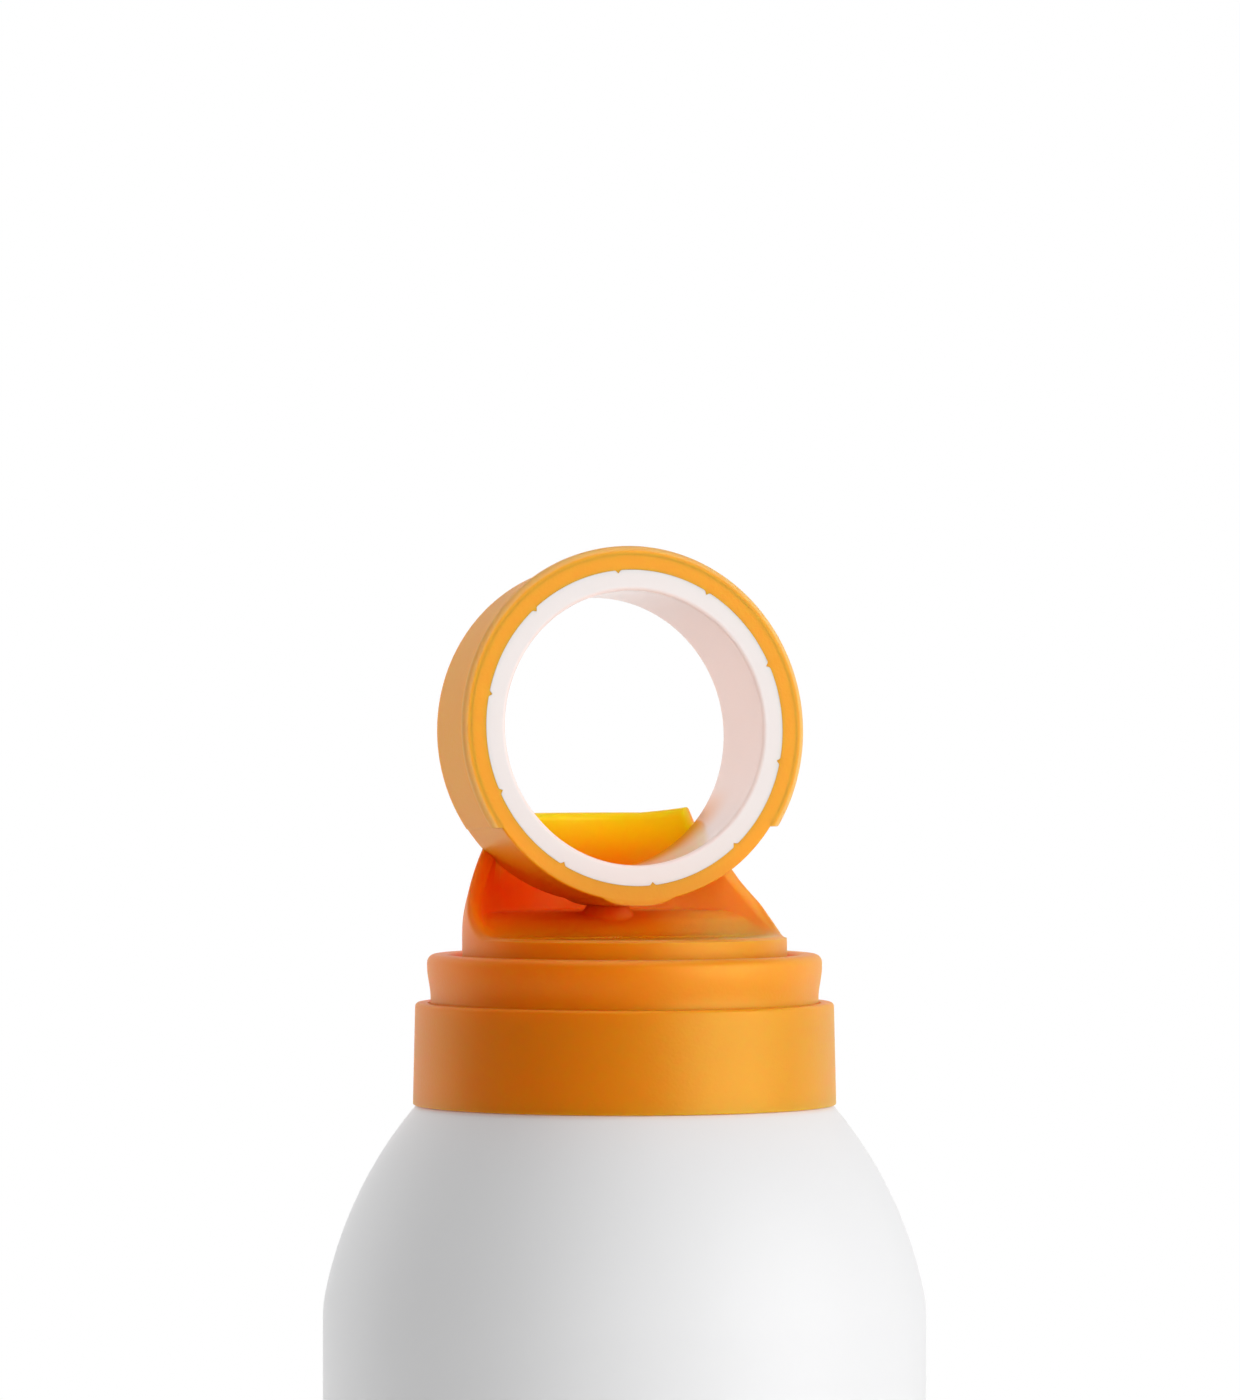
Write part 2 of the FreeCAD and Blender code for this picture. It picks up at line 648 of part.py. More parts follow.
def actuator_hood():
    """Press-down hood: domed skirt with an open dish, rear wall, pad for the ring and stem socket."""
    body = sub_part("actuator_hood", "ledge_height")
    turn(body, "dome", [
        ("0", HOOD_LOW, STRAIGHT),
        ("hood_radius", HOOD_LOW, STRAIGHT),
        ("hood_radius", DOME_START, STRAIGHT),
        (DOME_X, DOME_Z, SMOOTH),
        (f"{DOME_X} - ({HOOD_TOP} - ({DOME_Z})) * tan(dome_draft)", HOOD_TOP, STRAIGHT),
        ("0", HOOD_TOP, STRAIGHT),
    ])
    rim = [("-hood_radius - overrun", RIM_FRONT, STRAIGHT)]
    rim += [(f"{y} * hood_radius", f"{RIM_FRONT} + {z} * wall_rise", bend) for y, z, bend in RIM_SHARES]
    rim += [
        ("hood_radius + overrun", f"{RIM_FRONT} + {RIM_SHARES[-1][1]} * wall_rise", STRAIGHT),
        ("hood_radius + overrun", f"{HOOD_TOP} + overrun", STRAIGHT),
        ("-hood_radius - overrun", f"{HOOD_TOP} + overrun", STRAIGHT),
    ]
    cut = pocket(body, "rim", outline(body, "above_rim", "YZ_Plane", rim))

    def on_rim(edge):
        level = abs(edge.BoundBox.ZMin - size(RIM_FRONT)) < size("seal_clearance")
        return runs_along(edge, "XYZ") or (level and runs_along(edge, "XY"))

    soften(body, "rim_edge", cut, "rim_round", on_rim)
    inner_x = "hood_radius - dome_radius + (dome_radius - hood_wall) * cos(dome_draft)"
    inner_z = f"{DOME_START} + (dome_radius - hood_wall) * sin(dome_draft)"

    def inner_wall(height):
        return f"{inner_x} - ({height} - ({inner_z})) * tan(dome_draft)"

    corner = f"({DISH_FLOOR} + dish_round)"
    top = f"({HOOD_TOP} + overrun)"
    groove(body, "dish", [
        ("0", DISH_FLOOR, STRAIGHT),
        (f"{inner_wall(corner)} - dish_round", DISH_FLOOR, STRAIGHT),
        (inner_wall(corner), corner, SMOOTH),
        (inner_wall(top), top, STRAIGHT),
        ("0", top, STRAIGHT),
    ])
    room = round_spot(body, "ring_room_face", "XZ_Plane", "ring_front_radius + ring_room")
    tie(room, "AttachmentOffset.Base.y", RING_HEIGHT)
    tie(room, "AttachmentOffset.Base.z", "-ring_offset")
    room.AttachmentOffset.Rotation = Rotation(Vector(1, 0, 0), -size("ring_tilt"))
    tie(room, "AttachmentOffset.Rotation.Angle", "-ring_tilt")
    pocket(body, "ring_room", room, "ring_depth + 2 * ring_room")
    pad(body, "ring_pad", outline(body, "pad_side", "YZ_Plane", [
        ("seat_front", HOOD_ROOF, STRAIGHT),
        (FOOT_REAR, HOOD_ROOF, STRAIGHT),
        (FOOT_REAR, seat_height(FOOT_REAR), STRAIGHT),
        ("seat_front", seat_height("seat_front"), STRAIGHT),
    ]), "foot_width")
    socket = "stem_radius + running_clearance"
    plug_seat = f"({seat_height('plug_place')} - plug_length - plug_gap)"
    groove(body, "underside", [
        (socket, f"{HOOD_LOW} - overrun", STRAIGHT),
        ("hood_radius - hood_wall", f"{HOOD_LOW} - overrun", STRAIGHT),
        ("hood_radius - hood_wall", HOOD_ROOF, STRAIGHT),
        (f"{socket} + socket_wall", HOOD_ROOF, STRAIGHT),
        (f"{socket} + socket_wall", f"{STEM_TOP} - socket_depth", STRAIGHT),
        (socket, f"{STEM_TOP} - socket_depth", STRAIGHT),
    ])
    groove(body, "feed", [
        ("0", f"{HOOD_LOW} - overrun", STRAIGHT),
        (socket, f"{HOOD_LOW} - overrun", STRAIGHT),
        (socket, STEM_TOP, STRAIGHT),
        ("feed_radius", STEM_TOP, STRAIGHT),
        ("feed_radius", plug_seat, STRAIGHT),
        ("0", plug_seat, STRAIGHT),
    ])
    pocket(body, "feed_back", outline(body, "feed_side", "YZ_Plane", [
        ("0", f"{plug_seat} - 2 * feed_radius", STRAIGHT),
        ("plug_place + feed_radius", f"{plug_seat} - 2 * feed_radius", STRAIGHT),
        ("plug_place + feed_radius", plug_seat, STRAIGHT),
        ("0", plug_seat, STRAIGHT),
    ]), "2 * feed_radius")
    seat = round_spot(body, "plug_seat_face", "XY_Plane", "plug_radius + plug_gap", y="plug_place")
    tie(seat, "AttachmentOffset.Base.z", plug_seat)
    pocket(body, "plug_seat", seat, both_ways=False, reverse=True)
    return body


# spray ring

HALF_DEPTH = "ring_depth / 2"
INSERT_SEAT = "insert_radius + seal_clearance"
SEAM_RADIUS = "ring_front_radius - ring_seam"


def ring_part(label):
    """A body whose upright axis lies along the spray ring's bore, to its front, and whose Y points up."""
    body = sub_part(label, f"ledge_height + {RING_HEIGHT}")
    tie(body, "Placement.Base.y", "ring_offset")
    body.Placement.Rotation = Rotation(Vector(1, 0, 0), RIGHT_ANGLE)
    tie(body, "Placement.Rotation.Angle", f"{RIGHT_ANGLE} - ring_tilt")
    return body


def ring_shell():
    """Outer ring with a chamber round the insert, a foot on the hood's pad and a hollow plug."""
    body = ring_part("ring_shell")
    chamber = f"{HALF_DEPTH} - chamber_land"
    turn(body, "shell", [
        (INSERT_SEAT, f"-{HALF_DEPTH}", STRAIGHT),
        ("ring_rear_radius", f"-{HALF_DEPTH}", STRAIGHT),
        ("ring_front_radius", f"{HALF_DEPTH} - band_thickness", STRAIGHT),
        (SEAM_RADIUS, f"{HALF_DEPTH} - band_thickness", STRAIGHT),
        (SEAM_RADIUS, f"{HALF_DEPTH} - ring_edge", STRAIGHT),
        (f"{SEAM_RADIUS} - ring_edge", HALF_DEPTH, SMOOTH),
        (INSERT_SEAT, HALF_DEPTH, STRAIGHT),
        (INSERT_SEAT, chamber, STRAIGHT),
        (f"{INSERT_SEAT} + chamber_depth", chamber, STRAIGHT),
        (f"{INSERT_SEAT} + chamber_depth", f"-({chamber})", STRAIGHT),
        (INSERT_SEAT, f"-({chamber})", STRAIGHT),
    ])
    root = f"(({INSERT_SEAT} + chamber_depth + ring_rear_radius) / 2)"
    root_drop = f"-sqrt({root} ^ 2 - (foot_width / 2) ^ 2)"
    foot = pad(body, "foot", outline(body, "foot_face", "XY_Plane", [
        ("-foot_width / 2", f"-{FOOT_REACH}", STRAIGHT),
        ("foot_width / 2", f"-{FOOT_REACH}", STRAIGHT),
        ("foot_width / 2", root_drop, STRAIGHT),
        ("-foot_width / 2", root_drop, (root, RIGHT)),
    ]), "foot_depth")
    soften(body, "foot_corners", foot, "foot_round", lambda edge: runs_along(edge, "Y"))
    under_ring = f"({FOOT_MIDDLE} - plug_place) / cos(ring_tilt)"
    plug = round_spot(body, "plug_face", "XZ_Plane", "plug_radius", y=under_ring)
    tie(plug, "AttachmentOffset.Base.z", FOOT_REACH)
    pad(body, "plug", plug, "plug_length", both_ways=False)
    hole = round_spot(body, "feed_spot", "XZ_Plane", "feed_radius", y=under_ring)
    pocket(body, "feed", hole, f"{FOOT_REACH} + plug_length + overrun", both_ways=False, reverse=True)
    return body


def ring_insert():
    """White nozzle insert: a plain bore, and outlet grooves in its outer front edge from the chamber."""
    body = ring_part("ring_insert")
    turn(body, "insert", [
        ("insert_bore", f"-{HALF_DEPTH} + insert_round", STRAIGHT),
        ("insert_bore + insert_round", f"-{HALF_DEPTH}", ("insert_round", LEFT)),
        ("insert_radius", f"-{HALF_DEPTH}", STRAIGHT),
        ("insert_radius", HALF_DEPTH, STRAIGHT),
        ("insert_bore + insert_round", HALF_DEPTH, STRAIGHT),
        ("insert_bore", f"{HALF_DEPTH} - insert_round", SMOOTH),
    ])
    notch = outline(body, "outlet_face", "XY_Plane", [
        ("-outlet_width / 2", "insert_radius - outlet_depth", STRAIGHT),
        ("outlet_width / 2", "insert_radius - outlet_depth", STRAIGHT),
        ("outlet_width / 2", "insert_radius + overrun", STRAIGHT),
        ("-outlet_width / 2", "insert_radius + overrun", STRAIGHT),
    ])
    tie(notch, "AttachmentOffset.Base.z", HALF_DEPTH)
    tie(notch, "AttachmentOffset.Rotation.Angle", "outlet_phase")
    cut = pocket(body, "outlet", notch, "chamber_land + outlet_width", both_ways=False)
    repeat_round(body, "outlets", cut, "Z_Axis", "outlet_count")
    return body


def front_band():
    """Open band clipped round the front of the ring, its two ends level below the ring's centre."""
    body = ring_part("front_band")
    bore = f"{SEAM_RADIUS} + seal_clearance"
    turn(body, "band", [
        (bore, f"{HALF_DEPTH} - band_thickness", STRAIGHT),
        ("band_radius", f"{HALF_DEPTH} - band_thickness", STRAIGHT),
        ("band_radius", f"{HALF_DEPTH} - ring_edge", STRAIGHT),
        ("band_radius - ring_edge", HALF_DEPTH, SMOOTH),
        (bore, HALF_DEPTH, STRAIGHT),
    ])
    low = outline(body, "opening_face", "XY_Plane", [
        ("-band_radius - overrun", "-band_radius - overrun", STRAIGHT),
        ("band_radius + overrun", "-band_radius - overrun", STRAIGHT),
        ("band_radius + overrun", "-band_cut", STRAIGHT),
        ("-band_radius - overrun", "-band_cut", STRAIGHT),
    ])
    pocket(body, "opening", low)
    return body


SUB_PARTS = (
    can_body,
    valve_cup,
    cup_gasket,
    valve_housing,
    stem_gasket,
    valve_stem,
    valve_spring,
    dip_tube,
    collar_band,
    guide_ring,
    actuator_hood,
    ring_shell,
    ring_insert,
    front_band,
)


def check(sub_parts):
    """Stop if any object failed or any sub-part isn't one sound solid."""
    failed = [thing.Name for thing in doc.Objects if {"Invalid", "Error"} & set(thing.State)]
    loose = [thing.Name for thing in doc.Objects if not getattr(thing, "FullyConstrained", True)]
    unsound = [
        body.Label
        for body in sub_parts
        if body.Shape.isNull() or not body.Shape.isValid() or len(body.Shape.Solids) != 1
    ]
    if failed or loose or unsound:
        raise RuntimeError(f"failed {failed}, loose sketches {loose}, unsound {unsound}")


def write(sub_parts):
    os.makedirs("parts", exist_ok=True)
    for body in sub_parts:
        body.Shape.exportStep(os.path.join("parts", f"{body.Label}.step"))
        print(f"{body.Label}: {body.Shape.Volume:.1f} mm3")


sub_parts = [make() for make in SUB_PARTS]
doc.recompute()
check(sub_parts)
write(sub_parts)
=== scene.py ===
import math

import bmesh
import bpy
from mathutils import Matrix, Vector


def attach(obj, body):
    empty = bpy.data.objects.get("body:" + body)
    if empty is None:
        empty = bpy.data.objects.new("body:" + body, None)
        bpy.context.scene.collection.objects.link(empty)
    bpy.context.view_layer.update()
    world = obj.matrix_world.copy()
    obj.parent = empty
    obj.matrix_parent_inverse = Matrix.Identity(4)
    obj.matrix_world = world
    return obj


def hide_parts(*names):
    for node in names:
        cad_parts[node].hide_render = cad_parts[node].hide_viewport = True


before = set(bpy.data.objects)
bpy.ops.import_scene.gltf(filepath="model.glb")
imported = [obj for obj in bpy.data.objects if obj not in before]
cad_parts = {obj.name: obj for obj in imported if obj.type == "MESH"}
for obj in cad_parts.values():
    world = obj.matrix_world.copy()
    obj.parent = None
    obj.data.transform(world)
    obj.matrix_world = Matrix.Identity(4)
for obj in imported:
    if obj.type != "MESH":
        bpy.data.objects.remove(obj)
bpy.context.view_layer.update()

bl_info = {
    "name": "Sunscreen spray can",
    "version": (1, 0, 0),
    "blender": (4, 5, 0),
    "location": "3D View > Sidebar > Spray can",
    "description": "Looks of a white spray can with an orange ring-nozzle head, built on its packed frame",
    "category": "Object",
}

# Lengths are in millimetres, apart from the stage's, and meshes and shader sockets get them in metres.
# The head's heights are above the ledge, the flat top of the can's shoulder.

MM = 0.001
LEDGE = 143.0
AXIS_UP = Matrix.Translation((0, 0, LEDGE))


class CanSettings(bpy.types.PropertyGroup):
    """Size and finish of the lacquered can."""

    radius: bpy.props.FloatProperty(
        name="Wall radius", description="Radius of the straight wall, in mm", default=26.5, min=1)
    lacquer: bpy.props.FloatVectorProperty(
        name="Lacquer", description="Colour of the white lacquer", default=(0.83, 0.83, 0.835),
        subtype="COLOR", size=3, min=0, max=1)
    lacquer_roughness: bpy.props.FloatProperty(
        name="Lacquer roughness", description="0 is a mirror, 1 is chalk", default=0.42,
        subtype="FACTOR", min=0, max=1)
    peel: bpy.props.FloatProperty(
        name="Orange peel", description="Depth of the lacquer's faint ripple, in mm", default=0.002, min=0)


class HeadSettings(bpy.types.PropertyGroup):
    """Size and finish of the orange head."""

    orange: bpy.props.FloatVectorProperty(
        name="Orange", description="Colour of the moulded orange plastic", default=(0.95, 0.2, 0.001),
        subtype="COLOR", size=3, min=0, max=1)
    ring_orange: bpy.props.FloatVectorProperty(
        name="Ring orange", description="Colour of the spray ring, which looks yellower than the hood",
        default=(0.96, 0.335, 0.003), subtype="COLOR", size=3, min=0, max=1)
    # Painted shade: a darker, redder orange low on the dish's left, where the spray ring shades it.
    painted_shade_orange: bpy.props.FloatVectorProperty(
        name="Painted shade orange", description="Tone low on the dish's left side",
        default=(0.97, 0.075, 0.0), subtype="COLOR", size=3, min=0, max=1)
    # Painted light: the orange turns yellower on the side that faces the key lamp.
    painted_lit_side_orange: bpy.props.FloatVectorProperty(
        name="Painted lit side orange", description="Tone of the hood, the band and the guide ring on their right",
        default=(0.95, 0.31, 0.002), subtype="COLOR", size=3, min=0, max=1)
    # Painted sheen and glow: a paler orange inside the dish on its right, where light falls and shines
    # through.
    painted_sheen_orange: bpy.props.FloatVectorProperty(
        name="Painted sheen orange", description="Tone inside the dish on its right",
        default=(0.98, 0.47, 0.09), subtype="COLOR", size=3, min=0, max=1)
    # Painted glow: yellow on the rear wall's inner face, standing in for light shining through the wall.
    painted_glow_orange: bpy.props.FloatVectorProperty(
        name="Painted glow orange", description="Tone of the rear wall's inner face, as if light came through",
        default=(0.97, 0.7, 0.001), subtype="COLOR", size=3, min=0, max=1)
    glow: bpy.props.FloatProperty(
        name="Glow depth", description="How far red light wanders in the plastic, in mm", default=3.0, min=0)
    ring_glow: bpy.props.FloatProperty(
        name="Ring glow depth", description="The same in the spray ring, in mm", default=0.5, min=0)
    hood_glow: bpy.props.FloatProperty(
        name="Hood glow depth", description="The same in the hood, in mm", default=3.5, min=0)
    orange_roughness: bpy.props.FloatProperty(
        name="Plastic roughness", description="0 is a mirror, 1 is chalk", default=0.45,
        subtype="FACTOR", min=0, max=1)
    grain: bpy.props.FloatProperty(
        name="Grain", description="Depth of the fine moulded grain, in mm", default=0.018, min=0)
    # Painted shade: the ring darkens towards its foot, close to the hood.
    ring_painted_shade: bpy.props.FloatVectorProperty(
        name="Painted shade ring orange", description="Tone of the ring towards its foot",
        default=(0.76, 0.27, 0.003), subtype="COLOR", size=3, min=0, max=1)
    # Painted highlight: a paler orange on the ring's rounded front edge.
    edge: bpy.props.FloatVectorProperty(
        name="Edge", description="Tone of the ring's rounded front edge",
        default=(0.97, 0.5, 0.16), subtype="COLOR", size=3, min=0, max=1)
    sheen: bpy.props.FloatVectorProperty(
        name="Gloss tint", description="Tint of what the orange plastic mirrors",
        default=(1.0, 1.0, 0.3), subtype="COLOR", size=3, min=0, max=1)
    insert: bpy.props.FloatVectorProperty(
        name="Insert", description="Colour of the white nozzle insert", default=(0.87, 0.81, 0.79),
        subtype="COLOR", size=3, min=0, max=1)
    bore: bpy.props.FloatVectorProperty(
        name="Bore", description="Tone of the insert's bore, as if the orange round it shone through",
        default=(0.98, 0.8, 0.755), subtype="COLOR", size=3, min=0, max=1)
    # Painted glow: orange low at the rear of the bore, as if the hood's wall behind shone through.
    bore_painted_glow: bpy.props.FloatVectorProperty(
        name="Bore's painted glow", description="Tone low at the rear of the bore",
        default=(0.94, 0.36, 0.04), subtype="COLOR", size=3, min=0, max=1)


class StudioSettings(bpy.types.PropertyGroup):
    """Lamps and camera."""

    camera_turn: bpy.props.FloatProperty(
        name="Camera turn", description="How far the camera stands to the left of the ring's front",
        default=math.radians(20.74), subtype="ANGLE")
    camera_distance: bpy.props.FloatProperty(
        name="Camera distance", description="From the can's axis, in m", default=0.6416, unit="LENGTH")
    camera_height: bpy.props.FloatProperty(
        name="Camera height", description="Above the can's stand ring, in m", default=0.1785, unit="LENGTH")
    lens: bpy.props.FloatProperty(
        name="Lens", description="Focal length in mm on a 36 mm sensor", default=187.7, unit="CAMERA")
    key: bpy.props.FloatProperty(
        name="Key lamp", description="Power of the big lamp at the right, in W", default=4.4, unit="POWER")
    fill: bpy.props.FloatProperty(
        name="Fill lamp", description="Power of the soft lamp at the front, in W", default=3.5, unit="POWER")
    side: bpy.props.FloatProperty(
        name="Side lamp", description="Power of the lamp at the left rear, in W", default=2.3, unit="POWER")
    top: bpy.props.FloatProperty(
        name="Top lamp", description="Power of the lamp above the can, in W", default=1.5, unit="POWER")
    back: bpy.props.FloatProperty(
        name="Back lamp", description="Power of the lamp behind the can, in W", default=1.8, unit="POWER")
    backdrop: bpy.props.FloatProperty(
        name="Backdrop", description="How strongly the white backdrop lights the can", default=1.0, min=0)
    front: bpy.props.FloatProperty(
        name="Front", description="How strongly the room before the can lights it", default=0.04, min=0)
    skyline: bpy.props.FloatProperty(
        name="Skyline", description="Sine of the angle at which the backdrop's light has faded upwards",
        default=0.8, min=0.1, max=1)


SETTINGS = {"spray_can": CanSettings, "spray_head": HeadSettings, "spray_studio": StudioSettings}


# meshes

TURN_STEPS = 240
MERGE = 0.0005
SHARP_ANGLE = math.radians(38)


def rounded(corners, steps=6, straight=0.9999):
    """Outline through corners (x, y, radius), each rounded to its radius unless it is nearly straight."""
    points = []
    count = len(corners)
    for index, (x, y, radius) in enumerate(corners):
        corner = Vector((x, y))
        before = (Vector(corners[index - 1][:2]) - corner).normalized()
        after = (Vector(corners[(index + 1) % count][:2]) - corner).normalized()
        if not radius or abs(before.dot(after)) > straight:
            points.append(corner)
            continue
        half = math.acos(max(-1.0, min(1.0, before.dot(after)))) / 2
        reach = radius / math.tan(half)
        middle = corner + (before + after).normalized() * (radius / math.sin(half))
        start = corner + before * reach - middle
        sweep = start.angle_signed(corner + after * reach - middle)
        for step in range(steps + 1):
            points.append(middle + Matrix.Rotation(-sweep * step / steps, 2) @ start)
    return points


def arc(centre, radius, start, end, steps=6):
    """Points of an arc between two angles in degrees."""
    angles = [math.radians(start + (end - start) * step / steps) for step in range(steps + 1)]
    return [Vector((centre[0] + radius * math.cos(a), centre[1] + radius * math.sin(a))) for a in angles]


def bezier(a, b, c, d, steps):
    """Points of a cubic curve after its start."""
    points = []
    for step in range(1, steps + 1):
        t = step / steps
        s = 1 - t
        points.append(a * s ** 3 + b * (3 * s * s * t) + c * (3 * s * t * t) + d * t ** 3)
    return points


def smooth_line(points, samples=12):
    """Points of a smooth curve through given points."""
    line = []
    for index in range(len(points) - 1):
        a = Vector(points[max(index - 1, 0)])
        b = Vector(points[index])
        c = Vector(points[index + 1])
        d = Vector(points[min(index + 2, len(points) - 1)])
        for step in range(samples):
            t = step / samples
            line.append(0.5 * (2 * b + (c - a) * t + (2 * a - 5 * b + 4 * c - d) * t * t
                               + (3 * b - a - 3 * c + d) * t ** 3))
    line.append(Vector(points[-1]))
    return line


def ease(share):
    """Smooth step from 0 to 1."""
    share = max(0.0, min(1.0, share))
    return share * share * (3 - 2 * share)


def height_at(line, place):
    """Height of a line of (place, height) points at a place."""
    for a, b in zip(line, line[1:]):
        if place <= b.x:
            share = (place - a.x) / (b.x - a.x) if b.x > a.x else 0
            return a.y + (b.y - a.y) * max(0.0, share)
    return line[-1].y


def skin(columns, around=True, closed=True):
    """Vertices and faces of a skin over columns of points. An open run of closed columns is capped."""
    count = len(columns[0])
    vertices = [point for column in columns for point in column]
    faces = []
    for near in range(len(columns) if around else len(columns) - 1):
        far = (near + 1) % len(columns)
        for row in range(count if closed else count - 1):
            above = (row + 1) % count
            faces.append((near * count + row, near * count + above, far * count + above, far * count + row))
    if not around:
        faces.append(tuple(range(count)))
        faces.append(tuple(range(len(vertices) - count, len(vertices))))
    return vertices, faces


def turned(outline, steps=TURN_STEPS, closed=True):
    """Vertices and faces of an outline (radius, height) turned about the upright axis."""
    angles = [2 * math.pi * step / steps for step in range(steps)]
    columns = [[(p[0] * math.cos(a), p[0] * math.sin(a), p[1]) for p in outline] for a in angles]
    return skin(columns, closed=closed)


def make_piece(name, mesh_data, place, body, nodes, finish):
    """Object from vertices and faces in mm at a place, riding on a body and standing for CAD nodes."""
    vertices, faces = mesh_data
    mesh = bpy.data.meshes.new(name)
    mesh.from_pydata([(place @ Vector(v)) * MM for v in vertices], [], faces)
    tool = bmesh.new()
    tool.from_mesh(mesh)
    bmesh.ops.remove_doubles(tool, verts=tool.verts, dist=MERGE * MM)
    bmesh.ops.recalc_face_normals(tool, faces=tool.faces)
    tool.to_mesh(mesh)
    tool.free()
    mesh.shade_smooth()
    mesh.set_sharp_from_angle(angle=SHARP_ANGLE)
    piece = bpy.data.objects.new(name, mesh)
    bpy.context.scene.collection.objects.link(piece)
    mesh.materials.append(FINISHES[finish])
    even = piece.modifiers.new("Even shading", "WEIGHTED_NORMAL")
    even.keep_sharp = True
    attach(piece, body)
    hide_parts(*nodes)


# nodes of the finishes

def feed(tree, value, socket):
    """Link a socket to another one, or set it to a plain value."""
    if isinstance(value, bpy.types.NodeSocket):
        tree.links.new(value, socket)
    else:
        socket.default_value = value


def link_math(tree, operation, first, second):
    """Result of a math node on two sockets or numbers."""
    node = tree.nodes.new("ShaderNodeMath")
    node.operation = operation
    feed(tree, first, node.inputs[0])
    feed(tree, second, node.inputs[1])
    return node.outputs["Value"]


def product(tree, first, *others):
    """Product of sockets."""
    for other in others:
        first = link_math(tree, "MULTIPLY", first, other)
    return first


def vector_math(tree, operation, first, second=None):
    """Outputs of a vector math node on one or two vectors."""
    node = tree.nodes.new("ShaderNodeVectorMath")
    node.operation = operation
    feed(tree, first, node.inputs[0])
    if second is not None:
        feed(tree, second, node.inputs[1])
    return node.outputs


def ramp_between(tree, value, low, high, start=0.0, end=1.0):
    """Smooth change from start at low to end at high, which are sockets or numbers."""
    node = tree.nodes.new("ShaderNodeMapRange")
    node.interpolation_type = "SMOOTHSTEP"
    settings = {"Value": value, "From Min": low, "From Max": high, "To Min": start, "To Max": end}
    for label, setting in settings.items():
        feed(tree, setting, node.inputs[label])
    return node.outputs["Result"]


def axes_of(tree, vector):
    """The x, y and z of a vector."""
    node = tree.nodes.new("ShaderNodeSeparateXYZ")
    tree.links.new(vector, node.inputs[0])
    return node.outputs


def noise(tree, vector, scale, detail):
    """Value of a noise texture."""
    node = tree.nodes.new("ShaderNodeTexNoise")
    node.inputs["Detail"].default_value = detail
    tree.links.new(vector, node.inputs["Vector"])
    feed(tree, scale, node.inputs["Scale"])
    return node.outputs["Fac"]


def blend(tree, share, first, second):
    """Blend of two colours, the second one where the share is 1."""
    node = tree.nodes.new("ShaderNodeMix")
    node.data_type = "RGBA"
    feed(tree, share, node.inputs[0])
    feed(tree, first, node.inputs[6])
    feed(tree, second, node.inputs[7])
    return node.outputs[2]


def place_group(tree, group):
    """Node that holds a node group."""
    node = tree.nodes.new("ShaderNodeGroup")
    node.node_tree = group
    return node


# node groups

def lengths(**values):
    """Named input sockets from lengths in mm."""
    return [(label.replace("_", " "), "NodeSocketFloat", value * MM) for label, value in values.items()]


def socket_group(name, inputs, outputs):
    """Shader node group with named inputs and number outputs, and the sockets inside that carry both."""
    group = bpy.data.node_groups.new(name, "ShaderNodeTree")
    for label, kind, value in inputs:
        socket = group.interface.new_socket(name=label, in_out="INPUT", socket_type=kind)
        socket.default_value = value
    for label in outputs:
        group.interface.new_socket(name=label, in_out="OUTPUT", socket_type="NodeSocketFloat")
    given = group.nodes.new("NodeGroupInput").outputs
    result = group.nodes.new("NodeGroupOutput").inputs
    return group, given, result


def grain_group():
    """Fine moulded or sprayed grain as a height, and a slow drift of tone as a mask."""
    group, given, result = socket_group(
        "SurfaceGrain",
        [("Grains per metre", "NodeSocketFloat", 3000.0), ("Drifts per metre", "NodeSocketFloat", 60.0)],
        ["Height", "Drift"],
    )
    spot = group.nodes.new("ShaderNodeTexCoord").outputs["Object"]
    group.links.new(noise(group, spot, given["Grains per metre"], 3.0), result["Height"])
    group.links.new(noise(group, spot, given["Drifts per metre"], 1.0), result["Drift"])
    return group


def painted_light_tone_group():
    """Mask of the orange pieces: Side, painted light that rises across them from left to right, towards the
    key lamp.
    """
    group, given, result = socket_group(
        "SideTone",
        [("Across", "NodeSocketVector", (0.935, -0.354, 0))] + lengths(Side_from=-12.0, Side_to=15.0),
        ["Side"],
    )
    spot = group.nodes.new("ShaderNodeTexCoord").outputs["Object"]
    # Across is the camera's right, so the painted light grows towards the key lamp.
    place = vector_math(group, "DOT_PRODUCT", spot, given["Across"])["Value"]
    group.links.new(ramp_between(group, place, given["Side from"], given["Side to"]), result["Side"])
    return group


